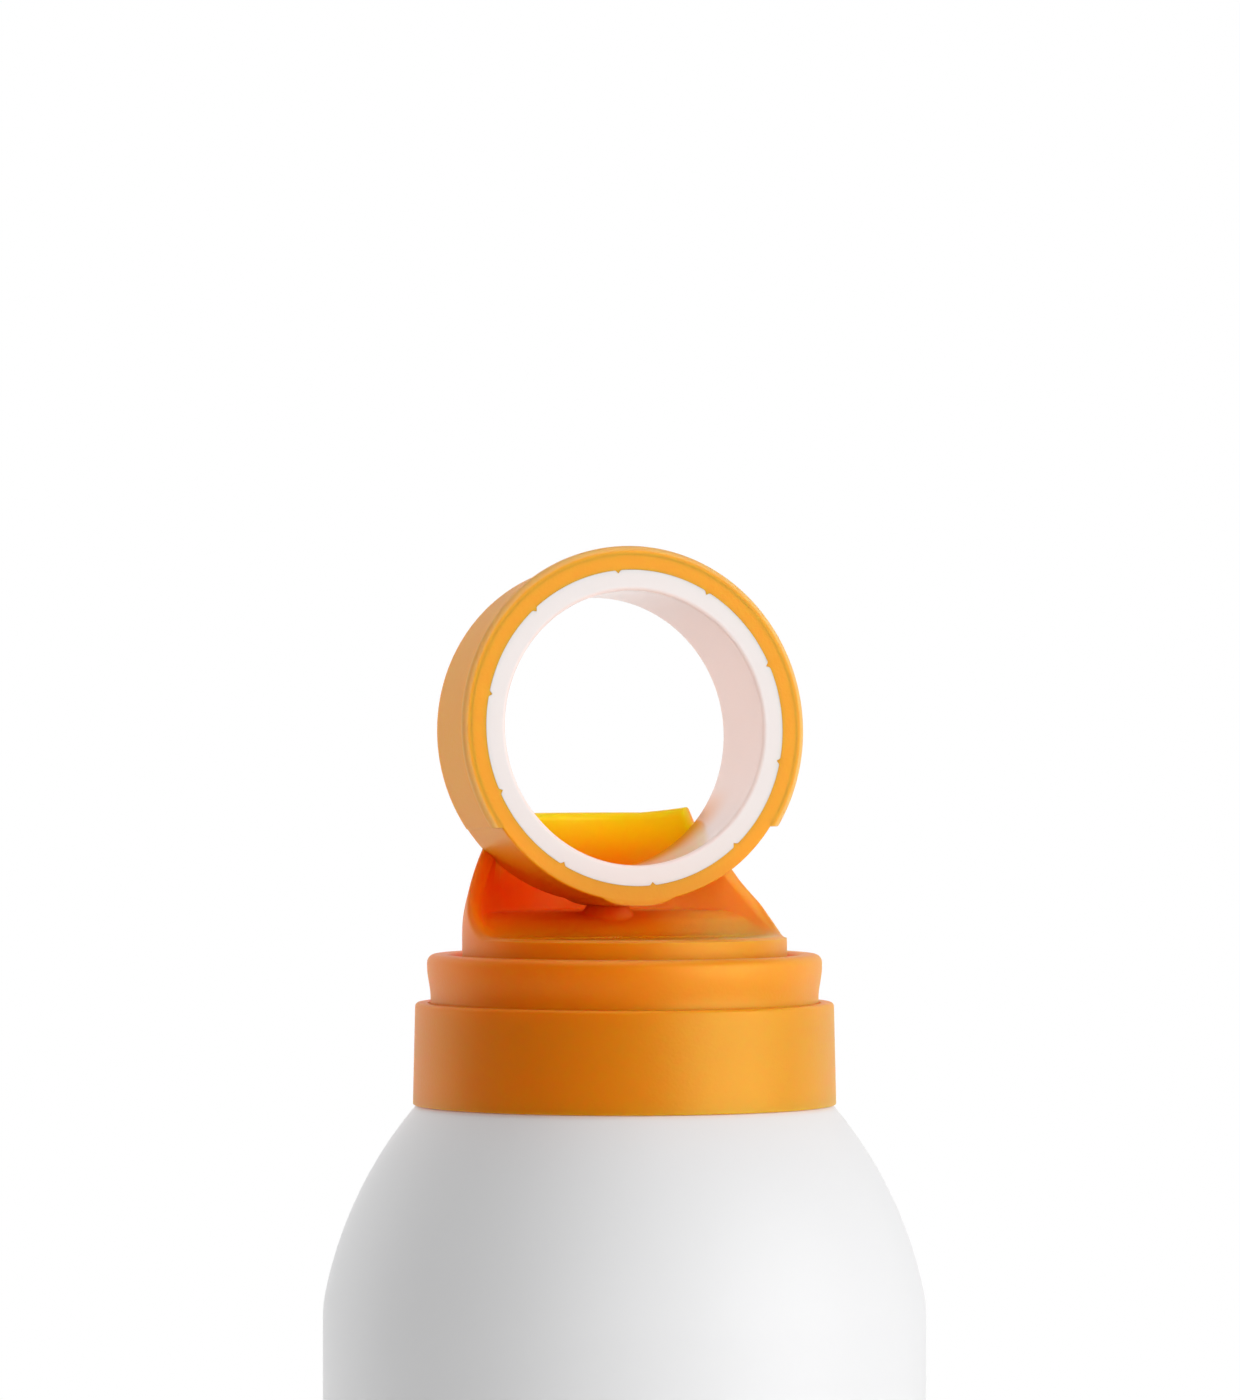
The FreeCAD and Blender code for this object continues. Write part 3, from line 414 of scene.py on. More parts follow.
def hood_tone_group():
    """Masks of the hood, all painted light: Thin, a painted glow inside its rear wall as if light came
    through it; Deep, painted shade low on the dish's left under the spray ring; and Light, a painted sheen
    and glow inside the dish on its right.
    """
    group, given, result = socket_group(
        "HoodTone",
        [("Dark side", "NodeSocketVector", Vector((-5, 3, LEDGE + 17.5)) * MM),
         ("Lean", "NodeSocketFloat", 0.27)]
        + lengths(Wall_place=6.0, Wall_foot=LEDGE + 18.7, Wall_top=LEDGE + 24.5, Deep_radius=4.0,
                  Dish_radius=13.5, Deep_from=LEDGE + 14.6, Deep_to=LEDGE + 17.2, Inside_radius=13.1,
                  Outside_radius=13.8, Lean_from=LEDGE + 18.1, Light_from=2.5, Light_to=10.0),
        ["Thin", "Deep", "Light"],
    )
    spot = group.nodes.new("ShaderNodeTexCoord").outputs["Object"]
    x, y, z = axes_of(group, spot)
    flat = group.nodes.new("ShaderNodeCombineXYZ")
    group.links.new(x, flat.inputs["X"])
    group.links.new(y, flat.inputs["Y"])
    radius = vector_math(group, "LENGTH", flat.outputs["Vector"])["Value"]
    above = link_math(group, "SUBTRACT", z, given["Lean from"])
    lean = product(group, link_math(group, "MAXIMUM", above, 0.0), given["Lean"])
    upright = link_math(group, "ADD", radius, lean)
    inside = ramp_between(group, upright, given["Outside radius"], given["Inside radius"])
    behind = link_math(group, "GREATER_THAN", y, given["Wall place"])
    # The painted glow of the rear wall rises from its foot to its top.
    wall = product(group, ramp_between(group, z, given["Wall foot"], given["Wall top"]), behind)
    # The painted shade gathers round the dark side under the ring's left and deepens upwards towards the
    # ring.
    away = vector_math(group, "DISTANCE", spot, given["Dark side"])["Value"]
    far = ramp_between(group, away, given["Deep radius"], given["Dish radius"])
    near = link_math(group, "SUBTRACT", 1.0, far)
    raised = ramp_between(group, z, given["Deep from"], given["Deep to"])
    # Painted sheen and glow grow towards the dish's right.
    right = ramp_between(group, x, given["Light from"], given["Light to"])
    off_wall = link_math(group, "SUBTRACT", 1.0, wall)
    group.links.new(product(group, wall, inside), result["Thin"])
    group.links.new(product(group, inside, near, raised), result["Deep"])
    group.links.new(product(group, inside, right, off_wall), result["Light"])
    return group


def ring_place_group():
    """Where a spot lies on the spray ring: Radius from the bore's axis, Along it to the front, and Height."""
    group, given, result = socket_group(
        "RingPlace",
        [("Ring centre", "NodeSocketVector", RING_PLACE.translation * MM),
         ("Bore axis", "NodeSocketVector", RING_PLACE.to_3x3() @ Vector((0, 0, 1)))],
        ["Radius", "Along", "Height"],
    )
    spot = group.nodes.new("ShaderNodeTexCoord").outputs["Object"]
    away = vector_math(group, "SUBTRACT", spot, given["Ring centre"])["Vector"]
    along = vector_math(group, "DOT_PRODUCT", away, given["Bore axis"])["Value"]
    straight = vector_math(group, "MULTIPLY", given["Bore axis"], along)["Vector"]
    aside = vector_math(group, "SUBTRACT", away, straight)["Vector"]
    group.links.new(vector_math(group, "LENGTH", aside)["Value"], result["Radius"])
    group.links.new(along, result["Along"])
    group.links.new(axes_of(group, aside)["Z"], result["Height"])
    return group


def insert_tone_group(ring_place):
    """Masks of the insert, both painted glow of the orange round it: Bore on the wall of its bore, and Warm
    where that wall is low and far back.
    """
    group, given, result = socket_group(
        "InsertTone",
        lengths(Bore_radius=INSERT_BORE + 0.1, Face_radius=INSERT_BORE + 0.4, Warm_from=1.5, Warm_to=-4.4,
                Low_from=-4.5, Low_to=-8.5),
        ["Bore", "Warm"],
    )
    place = place_group(group, ring_place).outputs
    bore = ramp_between(group, place["Radius"], given["Face radius"], given["Bore radius"])
    low = ramp_between(group, place["Height"], given["Low from"], given["Low to"])
    back = ramp_between(group, place["Along"], given["Warm from"], given["Warm to"])
    group.links.new(bore, result["Bore"])
    group.links.new(product(group, low, back, bore), result["Warm"])
    return group


def ring_tone_group(ring_place):
    """Masks of the ring: Edge, a painted highlight on the rounded outer edge of its front, and Low, painted
    shade towards its foot.
    """
    group, given, result = socket_group(
        "RingTone",
        lengths(Edge_radius=BAND_RADIUS - 0.55, Full_radius=BAND_RADIUS - 0.3, Edge_place=HALF_DEPTH - 0.7,
                Full_place=HALF_DEPTH - 0.4, Low_from=-10.0, Low_to=-15.0),
        ["Edge", "Low"],
    )
    place = place_group(group, ring_place).outputs
    outer = ramp_between(group, place["Radius"], given["Edge radius"], given["Full radius"])
    front = ramp_between(group, place["Along"], given["Edge place"], given["Full place"])
    low = ramp_between(group, place["Height"], given["Low from"], given["Low to"])
    # The painted highlight lies on the outer front edge only.
    group.links.new(product(group, outer, front), result["Edge"])
    group.links.new(low, result["Low"])
    return group


# finishes

FINISHES = {}


def new_material(name):
    """Material with its node tree and its shader."""
    material = bpy.data.materials.new(name)
    material.use_nodes = True
    return material, material.node_tree, material.node_tree.nodes["Principled BSDF"]


def finish_material(name, group, tones, roughness, spread, grain, grains, drifts, **plain):
    """Material with a drifting tone, a drifting roughness and a fine bump. Plain values go on the shader."""
    material, tree, shader = new_material(name)
    node = place_group(tree, group)
    node.inputs["Grains per metre"].default_value = grains
    node.inputs["Drifts per metre"].default_value = drifts
    tone = blend(tree, node.outputs["Drift"], (*tones[0], 1), (*tones[1], 1))
    tree.links.new(tone, shader.inputs["Base Color"])
    rough = tree.nodes.new("ShaderNodeMapRange")
    rough.inputs["To Min"].default_value = roughness - spread
    rough.inputs["To Max"].default_value = roughness + spread
    tree.links.new(node.outputs["Height"], rough.inputs["Value"])
    tree.links.new(rough.outputs["Result"], shader.inputs["Roughness"])
    bump = tree.nodes.new("ShaderNodeBump")
    bump.inputs["Distance"].default_value = grain * MM
    tree.links.new(node.outputs["Height"], bump.inputs["Height"])
    tree.links.new(bump.outputs["Normal"], shader.inputs["Normal"])
    for label, value in plain.items():
        shader.inputs[label.replace("_", " ")].default_value = value
    return material


def add_tones(material, group, tones):
    """Blend a material's base colour to others by the masks of a group, whose outputs name them."""
    tree = material.node_tree
    masks = place_group(tree, group)
    base = tree.nodes["Principled BSDF"].inputs["Base Color"]
    tone = base.links[0].from_socket
    for label, colour in tones.items():
        tone = blend(tree, masks.outputs[label], tone, (*colour, 1))
    tree.links.new(tone, base)


def with_shade(colour, share):
    """A colour and the darker one that it drifts to."""
    return colour, [c * share for c in colour]


def build_finishes():
    """All finishes of the can, by name."""
    can = bpy.context.scene.spray_can
    head = bpy.context.scene.spray_head
    group = grain_group()
    moulded = dict(
        roughness=head.orange_roughness, spread=0.05, grain=head.grain, grains=3600, drifts=90,
        Subsurface_Weight=1.0, Subsurface_Radius=(1.0, 0.3, 0.03), Subsurface_Scale=head.glow * MM, IOR=1.55,
        Specular_IOR_Level=1.0, Specular_Tint=(*head.sheen, 1))
    hood = dict(moulded, Subsurface_Scale=head.hood_glow * MM, Specular_IOR_Level=0.8)
    ring = dict(moulded, Subsurface_Radius=(1.0, 0.8, 0.5), Subsurface_Scale=head.ring_glow * MM)
    finishes = {
        "lacquer": finish_material(
            "White lacquer", group, with_shade(can.lacquer, 0.985), roughness=can.lacquer_roughness,
            spread=0.03, grain=can.peel, grains=900, drifts=25, IOR=1.5, Specular_IOR_Level=0.4),
        "orange": finish_material("Orange plastic", group, with_shade(head.orange, 0.94), **moulded),
        "hood orange": finish_material(
            "Orange plastic with a thin wall", group, with_shade(head.orange, 0.94), **hood),
        "ring orange": finish_material(
            "Dense orange plastic", group, with_shade(head.ring_orange, 0.95), **ring),
        "insert": finish_material(
            "White insert plastic", group, with_shade(head.insert, 0.98), roughness=0.16, spread=0.02,
            grain=0.002, grains=2600, drifts=70, Subsurface_Weight=0.5, Subsurface_Radius=(1.0, 1.0, 1.0),
            Subsurface_Scale=0.5 * MM, IOR=1.49, Specular_IOR_Level=0.2),
        "cup metal": finish_material(
            "Cup aluminium", group, ((0.75, 0.75, 0.76), (0.7, 0.7, 0.72)), roughness=0.32, spread=0.06,
            grain=0.004, grains=1800, drifts=120, Metallic=1.0),
        "rubber": finish_material(
            "Black gasket rubber", group, ((0.03, 0.03, 0.03), (0.045, 0.044, 0.043)), roughness=0.75,
            spread=0.08, grain=0.02, grains=2400, drifts=100),
        "valve plastic": finish_material(
            "Natural valve plastic", group, ((0.82, 0.82, 0.8), (0.78, 0.78, 0.76)), roughness=0.4,
            spread=0.05, grain=0.008, grains=2200, drifts=80, Subsurface_Weight=0.4,
            Subsurface_Radius=(1.0, 0.9, 0.8), Subsurface_Scale=1.0 * MM),
        "spring steel": finish_material(
            "Spring steel", group, ((0.62, 0.62, 0.63), (0.5, 0.5, 0.52)), roughness=0.25, spread=0.06,
            grain=0.003, grains=5000, drifts=200, Metallic=1.0),
        "tube plastic": finish_material(
            "Milky tube plastic", group, ((0.85, 0.86, 0.86), (0.8, 0.82, 0.82)), roughness=0.3, spread=0.04,
            grain=0.004, grains=1500, drifts=60, Subsurface_Weight=0.8, Subsurface_Radius=(1.0, 1.0, 1.0),
            Subsurface_Scale=2.0 * MM),
    }
    painted_light_tone = painted_light_tone_group()
    # Painted light: the orange pieces grow yellower towards the key lamp on their right.
    for name in ("orange", "hood orange"):
        add_tones(finishes[name], painted_light_tone, {"Side": head.painted_lit_side_orange})
    # Painted light inside the hood: shade low on the dish's left, sheen and glow on its right, glow on the
    # rear wall's inner face.
    add_tones(finishes["hood orange"], hood_tone_group(), {
        "Deep": head.painted_shade_orange, "Light": head.painted_sheen_orange, "Thin": head.painted_glow_orange})
    ring_place = ring_place_group()
    # Painted glow of the orange round the insert's bore.
    add_tones(finishes["insert"], insert_tone_group(ring_place), {"Bore": head.bore, "Warm": head.bore_painted_glow})
    # Painted shade towards the ring's foot and a painted highlight along its front edge.
    add_tones(finishes["ring orange"], ring_tone_group(ring_place), {"Low": head.ring_painted_shade, "Edge": head.edge})
    return finishes


# can: its heel and base, its shoulder, the ledge, and the neck with its curl

CAN_WALL = 0.45
BASE_RISE = 8.5
BASE_STEPS = 16
HEEL_SOFT = 4.5
STAND_WIDTH = 1.6
STAND_SOFT = 0.25
WALL_STEPS = 24
SHOULDER_DROP = 18.7
SHOULDER_SOFT = 11.4
SHOULDER_TURN = 11.5
LEDGE_RADIUS = 18.25
LEDGE_SOFT = 0.2
LEDGE_INSET = 0.35
NECK_FOOT = 15.0
NECK_SOFT = 1.85
NECK_RADIUS = NECK_FOOT - NECK_SOFT
CURL_HEIGHT = 4.3
CURL_SOFT = 0.95
CURL_END = -50


def can_outline():
    """Outline of the can wall from the middle of its base, up the outside, and back down the inside."""
    radius = bpy.context.scene.spray_can.radius
    stand_inner = radius - HEEL_SOFT - STAND_WIDTH
    dome = (stand_inner ** 2 + BASE_RISE ** 2) / (2 * BASE_RISE)

    def base(lift):
        """Points of the domed base from its middle outwards."""
        places = [stand_inner * step / BASE_STEPS for step in range(BASE_STEPS + 1)]
        return [Vector((r, BASE_RISE + lift - dome + math.sqrt(dome ** 2 - r ** 2))) for r in places]

    outer = base(0.0)[:-1] + [Vector((stand_inner, STAND_SOFT))]
    outer += arc((stand_inner + STAND_SOFT, STAND_SOFT), STAND_SOFT, 180, 270, steps=4)
    outer += arc((radius - HEEL_SOFT, HEEL_SOFT), HEEL_SOFT, 270, 360, steps=16)
    start = LEDGE - SHOULDER_DROP
    rise = (start - HEEL_SOFT) / WALL_STEPS
    outer += [Vector((radius, HEEL_SOFT + rise * step)) for step in range(1, WALL_STEPS + 1)]
    corner_centre = Vector((radius - SHOULDER_SOFT, start))
    outer += arc(corner_centre, SHOULDER_SOFT, 0, SHOULDER_TURN)[1:]
    joint = outer[-1]
    end = Vector((LEDGE_RADIUS, LEDGE))
    spoke = (joint - corner_centre).normalized()
    chord = end - joint
    reach = chord.length_squared / (2 * chord.dot(-spoke))
    centre = joint - spoke * reach
    first, last = (math.degrees(math.atan2(p.y - centre.y, p.x - centre.x)) for p in (joint, end))
    shoulder = arc(centre, reach, first, last, steps=28)[1:-1]
    outer += shoulder
    outer += rounded([(*shoulder[-1], 0), (LEDGE_RADIUS, LEDGE, LEDGE_SOFT), (NECK_FOOT, LEDGE, 0)])[1:]
    neck = (NECK_FOOT, LEDGE + NECK_SOFT)
    outer += arc(neck, NECK_SOFT, 270, 180)
    curl = (NECK_RADIUS + CURL_SOFT, LEDGE + CURL_HEIGHT)
    outer += arc(curl, CURL_SOFT, 180, CURL_END, steps=16)
    outer += arc(curl, CURL_SOFT + CAN_WALL, CURL_END, 180, steps=20)
    inner = arc(neck, NECK_SOFT + CAN_WALL, 180, 270)
    inner += [Vector((LEDGE_RADIUS - LEDGE_INSET, LEDGE - CAN_WALL))]
    inner += [centre + (p - centre).normalized() * (reach - CAN_WALL) for p in reversed(shoulder)]
    inner += [Vector((radius - CAN_WALL, start)), Vector((radius - CAN_WALL, HEEL_SOFT))]
    inner += arc((radius - HEEL_SOFT, HEEL_SOFT), HEEL_SOFT - CAN_WALL, 360, 270, steps=8)[1:]
    inner += [Vector((stand_inner, CAN_WALL))] + base(CAN_WALL)[-2::-1]
    return outer + inner


class SPRAYCAN_OT_can(bpy.types.Operator):
    """Turn the lacquered can"""

    bl_idname = "spraycan.can"
    bl_label = "Can"

    def execute(self, context):
        make_piece("can", turned(can_outline(), closed=False), Matrix.Identity(4), "can", ["can_body"],
                   "lacquer")
        return {"FINISHED"}


VALVE_FINISHES = {
    "valve_cup": "cup metal",
    "cup_gasket": "rubber",
    "stem_gasket": "rubber",
    "valve_housing": "valve plastic",
    "valve_stem": "valve plastic",
    "valve_spring": "spring steel",
    "dip_tube": "tube plastic",
}


class SPRAYCAN_OT_valve(bpy.types.Operator):
    """Finish the valve's pieces, which are closed in between the can and the head"""

    bl_idname = "spraycan.valve"
    bl_label = "Valve"

    def execute(self, context):
        for node, finish in VALVE_FINISHES.items():
            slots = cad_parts[node].material_slots
            if not slots:
                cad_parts[node].data.materials.append(FINISHES[finish])
            for place in slots:
                place.material = FINISHES[finish]
        return {"FINISHED"}


# lower band and guide ring

COLLAR_RADIUS = 18.6
COLLAR_TAPER = 0.2
COLLAR_HEIGHT = 8.96
COLLAR_BORE = 17.2
COLLAR_LIP_BORE = 16.5
COLLAR_LIP_HEIGHT = 0.6
GUIDE_RADIUS = 17.05
GUIDE_LOW = 0.65
GUIDE_TOP = 13.2
GUIDE_BORE = 15.35
GUIDE_SHELF_BORE = 14.9
GUIDE_SHELF_LOW = 6.45
GUIDE_SHELF_TOP = 7.6
SKIRT_BORE = 16.35
BEAD_REACH = 0.31
BEAD_RISE = 2.7
BEAD_FROM = 9.4
BEAD_STEPS = 10


def band_outline():
    """Outline of the lower band: a slight draft, a soft top edge and a lip at its foot."""
    return rounded([
        (COLLAR_RADIUS, 0.0, 0.12), (COLLAR_RADIUS - COLLAR_TAPER, COLLAR_HEIGHT, 0.35),
        (COLLAR_BORE, COLLAR_HEIGHT, 0.15), (COLLAR_BORE, COLLAR_LIP_HEIGHT, 0.1),
        (COLLAR_LIP_BORE, COLLAR_LIP_HEIGHT, 0.1), (COLLAR_LIP_BORE, 0.0, 0.05),
    ])


def guide_outline():
    """Outline of the guide ring: straight below, flaring softly into a bead that rounds over into the top."""
    shares = [step / BEAD_STEPS for step in range(BEAD_STEPS + 1)]
    flare = [Vector((GUIDE_RADIUS + BEAD_REACH * ease(t), BEAD_FROM + BEAD_RISE * t)) for t in shares]
    return rounded([
        (*flare[-1], 0), (GUIDE_RADIUS + BEAD_REACH, GUIDE_TOP, 0.75), (GUIDE_BORE, GUIDE_TOP, 0.45),
        (GUIDE_BORE, GUIDE_SHELF_TOP, 0.2), (GUIDE_SHELF_BORE, GUIDE_SHELF_TOP, 0.1),
        (GUIDE_SHELF_BORE, GUIDE_SHELF_LOW, 0.05), (SKIRT_BORE, GUIDE_SHELF_LOW, 0.1),
        (SKIRT_BORE, GUIDE_LOW, 0.1), (GUIDE_RADIUS, GUIDE_LOW, 0.1), (*flare[0], 0),
    ])[1:-1] + flare


class SPRAYCAN_OT_collars(bpy.types.Operator):
    """Turn the lower band and the guide ring"""

    bl_idname = "spraycan.collars"
    bl_label = "Band and guide ring"

    def execute(self, context):
        make_piece("lower_band", turned(band_outline()), AXIS_UP, "can", ["collar_band"],
                   "orange")
        make_piece("snap_ring", turned(guide_outline()), AXIS_UP, "can", ["guide_ring"],
                   "orange")
        return {"FINISHED"}


# hood

HOOD_RADIUS = 14.28
HOOD_LOW = 8.5
HOOD_ROOF = 13.5
HOOD_WALL = 1.2
HOOD_STEPS = 360
DOME_START = 15.0
DOME_RADIUS = 12.0
DOME_DRAFT = math.radians(15.1)
DOME_STEPS = 20
SKIRT_SOFT = 0.12
ROOF_SOFT = 0.5
SOCKET_RADIUS = 2.0
SOCKET_OUTER = 3.6
SOCKET_LOW = 9.4
SOCKET_TOP = 13.4
FEED_RADIUS = 0.6
FEED_TOP = 14.05
RIM_SOFT = 0.6
RIM_FLAT = 0.15
RIM_FRONT = 14.8
HOOD_TOP = 25.95
WALL_REAR = 25.45

# The rim from the side, as places from front to back and heights. The last two points only end the line.
RIM = [
    (-4.2, RIM_FRONT), (-2.6, 14.95), (-1.0, 15.45), (0.9, 16.5), (2.2, 17.5), (3.4, 18.45), (4.4, 19.5),
    (5.2, 20.74), (6.4, 22.6), (7.3, 24.2), (7.48, 25.0), (7.52, HOOD_TOP),
]
WALL_TOP = [(7.53, HOOD_TOP), (10.5, WALL_REAR), (20.0, WALL_REAR)]
RIM_LINE = smooth_line(RIM) + [Vector(p) for p in WALL_TOP]

DISH_HEIGHT = 14.6
SLOPE_STEPS = 36
FLOOR_STEPS = 48

# How the dish leaves the rim at a rim height: the angle at which it falls, how far it keeps to that angle,
# the radius at which it lies flat, and how far before that it starts to flatten.
DISH_CUTS = [
    (RIM_FRONT, 1.0, 2.0, 9.5, 1.5),
    (16.0, 55.0, 0.9, 10.2, 1.4),
    (17.5, 80.0, 1.7, 9.8, 2.0),
    (20.0, 90.0, 3.6, 9.2, 2.7),
    (HOOD_TOP, 105.1, 8.4, 8.4, 3.2),
]

# The dish's ground climbs from the lip to a shelf under the ring and stays this far below the rim beside it.
SHELF_HEIGHT = 16.8
SHELF_BELOW = 0.6
SHELF_SOFT = 0.6
SHELF_ROUND = 2.6

# The post under the spray ring's foot: its place behind the axis, its radius, its top and the width over
# which it rises out of the dish.
POST_PLACE = 4.2
POST_RADIUS = 1.6
POST_TOP = 17.5
POST_FLARE = 0.8


def dome_radius(height):
    """Radius of the hood's outside at a height above the ledge."""
    low = HOOD_RADIUS - DOME_RADIUS
    if height <= DOME_START:
        return HOOD_RADIUS
    bend = DOME_START + DOME_RADIUS * math.sin(DOME_DRAFT)
    if height <= bend:
        return low + math.sqrt(DOME_RADIUS ** 2 - (height - DOME_START) ** 2)
    return low + DOME_RADIUS * math.cos(DOME_DRAFT) - (height - bend) * math.tan(DOME_DRAFT)


def rim_height(place):
    """Height of the hood's rim, seen from the side, at a place from front to back."""
    return RIM_FRONT if place <= RIM[0][0] else height_at(RIM_LINE, place)


def rim_at(turn, halvings=40):
    """Height of the hood's outer rim in a direction, where the dome meets the cut."""
    low = RIM_FRONT
    high = HOOD_TOP
    for _ in range(halvings):
        middle = (low + high) / 2
        if rim_height(dome_radius(middle) * math.sin(turn)) > middle:
            low = middle
        else:
            high = middle
    return low


def dish_cut(height):
    """The dish's cut for a rim height, between the two nearest given ones."""
    for low, high in zip(DISH_CUTS, DISH_CUTS[1:]):
        if height <= high[0]:
            share = max(0.0, (height - low[0]) / (high[0] - low[0]))
            return [a + (b - a) * share for a, b in zip(low[1:], high[1:])]
    return DISH_CUTS[-1][1:]


def with_shelf(x, y, height):
    """Height of the dish with its sloping ground, its shelf and the post of the spray ring."""
    slope = rim_height(y) - SHELF_BELOW
    turn = max(SHELF_ROUND - abs(slope - SHELF_HEIGHT), 0.0) / SHELF_ROUND
    shelf = max(DISH_HEIGHT, min(slope, SHELF_HEIGHT) - turn * turn * SHELF_ROUND / 4)
    near = max(SHELF_SOFT - abs(height - shelf), 0.0) / SHELF_SOFT
    height = max(height, shelf) + near * near * SHELF_SOFT / 4 * (shelf > DISH_HEIGHT)
    share = 1 - ease((math.hypot(x, y - POST_PLACE) - POST_RADIUS) / POST_FLARE)
    return height + max(POST_TOP - height, 0.0) * share


def hood_column(turn):
    """One upright cut through the hood, from the roof's underside round the rim to the middle of the dish."""
    cos = math.cos(turn)
    sin = math.sin(turn)
    rim = rim_at(turn)
    inside = HOOD_RADIUS - HOOD_WALL
    low = HOOD_LOW + SKIRT_SOFT
    high = rim - RIM_SOFT
    column = [(0.0, FEED_TOP), (FEED_RADIUS, FEED_TOP), (FEED_RADIUS, SOCKET_TOP)]
    column += [(SOCKET_RADIUS, SOCKET_TOP), (SOCKET_RADIUS, SOCKET_LOW)]
    column += [(SOCKET_OUTER, SOCKET_LOW), (SOCKET_OUTER, HOOD_ROOF)]
    column += [(inside - ROOF_SOFT, HOOD_ROOF), (inside, HOOD_ROOF - ROOF_SOFT), (inside, low)]
    column += [(inside + SKIRT_SOFT, HOOD_LOW), (HOOD_RADIUS - SKIRT_SOFT, HOOD_LOW), (HOOD_RADIUS, low)]
    heights = [low + (high - low) * step / DOME_STEPS for step in range(1, DOME_STEPS + 1)]
    column += [(dome_radius(height), height) for height in heights]
    fall, lead, flat, run_out = dish_cut(rim)
    down = Vector((-math.cos(math.radians(fall)), -math.sin(math.radians(fall))))
    over = arc((dome_radius(high) - RIM_SOFT, high), RIM_SOFT, 0, 90)[1:]
    over += [over[-1] - Vector((RIM_FLAT / 2, 0)), over[-1] - Vector((RIM_FLAT, 0))]
    over += arc(over[-1] - Vector((0, RIM_SOFT)), RIM_SOFT, 90, 90 + fall)[1:]
    floor = Vector((flat, DISH_HEIGHT))
    over += bezier(over[-1], over[-1] + down * lead, floor + Vector((run_out, 0)), floor, SLOPE_STEPS)
    over += [Vector((flat * (1 - step / FLOOR_STEPS), DISH_HEIGHT)) for step in range(1, FLOOR_STEPS + 1)]
    column += [(r, with_shelf(r * cos, r * sin, height)) for r, height in over]
    return [(r * cos, r * sin, height) for r, height in column]


class SPRAYCAN_OT_hood(bpy.types.Operator):
    """Shape the press-down hood with its dish and soft rim"""

    bl_idname = "spraycan.hood"
    bl_label = "Hood"

    def execute(self, context):
        columns = [hood_column(2 * math.pi * step / HOOD_STEPS) for step in range(HOOD_STEPS)]
        make_piece("hood", skin(columns, closed=False), AXIS_UP, "head", ["actuator_hood"],
                   "hood orange")
        return {"FINISHED"}


# spray ring, drawn as (radius, place along the bore towards the front)

RING_OFFSET = 2.2
RING_HEIGHT = 32.796
RING_TILT = 3.3
RING_PLACE = Matrix.Translation((0, RING_OFFSET, LEDGE + RING_HEIGHT)) @ Matrix.Rotation(
    math.radians(90 - RING_TILT), 4, "X")
HALF_DEPTH = 4.925
INSERT_BORE = 12.05
INSERT_RADIUS = 13.87
INSERT_SOFT = 0.35
INSERT_EDGE = 0.1
INSERT_PLAY = 0.03
BORE_INSET = 0.4
BORE_STEPS = 6
SHELL_FRONT = 15.37
SHELL_REAR = 15.05
SHELL_FACE = 0.25
SHELL_FLAT = 0.02
SHELL_SOFT = 0.16
SHELL_REAR_SOFT = 0.3
SHELL_ENDS = 0.8
SHELL_STEPS = 8
SEAM_RADIUS = 15.2
BAND_RADIUS = 16.0
BAND_DEPTH = 1.0
BAND_EDGE = 0.1
BAND_LOW = 8.7
BAND_SOFT = 0.5
OUTLETS = 10
OUTLET_FIRST = 95.5
OUTLET_DEPTH = 0.3
OUTLET_HALF = 1.1
OUTLET_SUNK = 0.03
OUTLET_REAR = 3.2
OUTLET_FADE = 0.2
TOOTH_LENGTH = 1.6
FOOT_HALF = 3.4
FOOT_DROP = 0.34
FOOT_INSET = 0.06
LOW_STEP = 0.07


def outlet_depth(angle):
    """How far the shell's inner edge reaches into an outlet notch of the insert at an angle in degrees."""
    spacing = 360 / OUTLETS
    away = abs((angle - OUTLET_FIRST + spacing / 2) % spacing - spacing / 2)
    return OUTLET_DEPTH * max(0.0, 1 - away / OUTLET_HALF)


def ring_columns(outline, steps=720):
    """Columns round the ring's axis of an outline that depends on the angle in degrees."""
    columns = []
    for step in range(steps):
        angle = OUTLET_FIRST + 360 * step / steps
        a = math.radians(angle)
        columns.append([(r * math.cos(a), r * math.sin(a), z) for r, z in outline(angle)])
    return columns


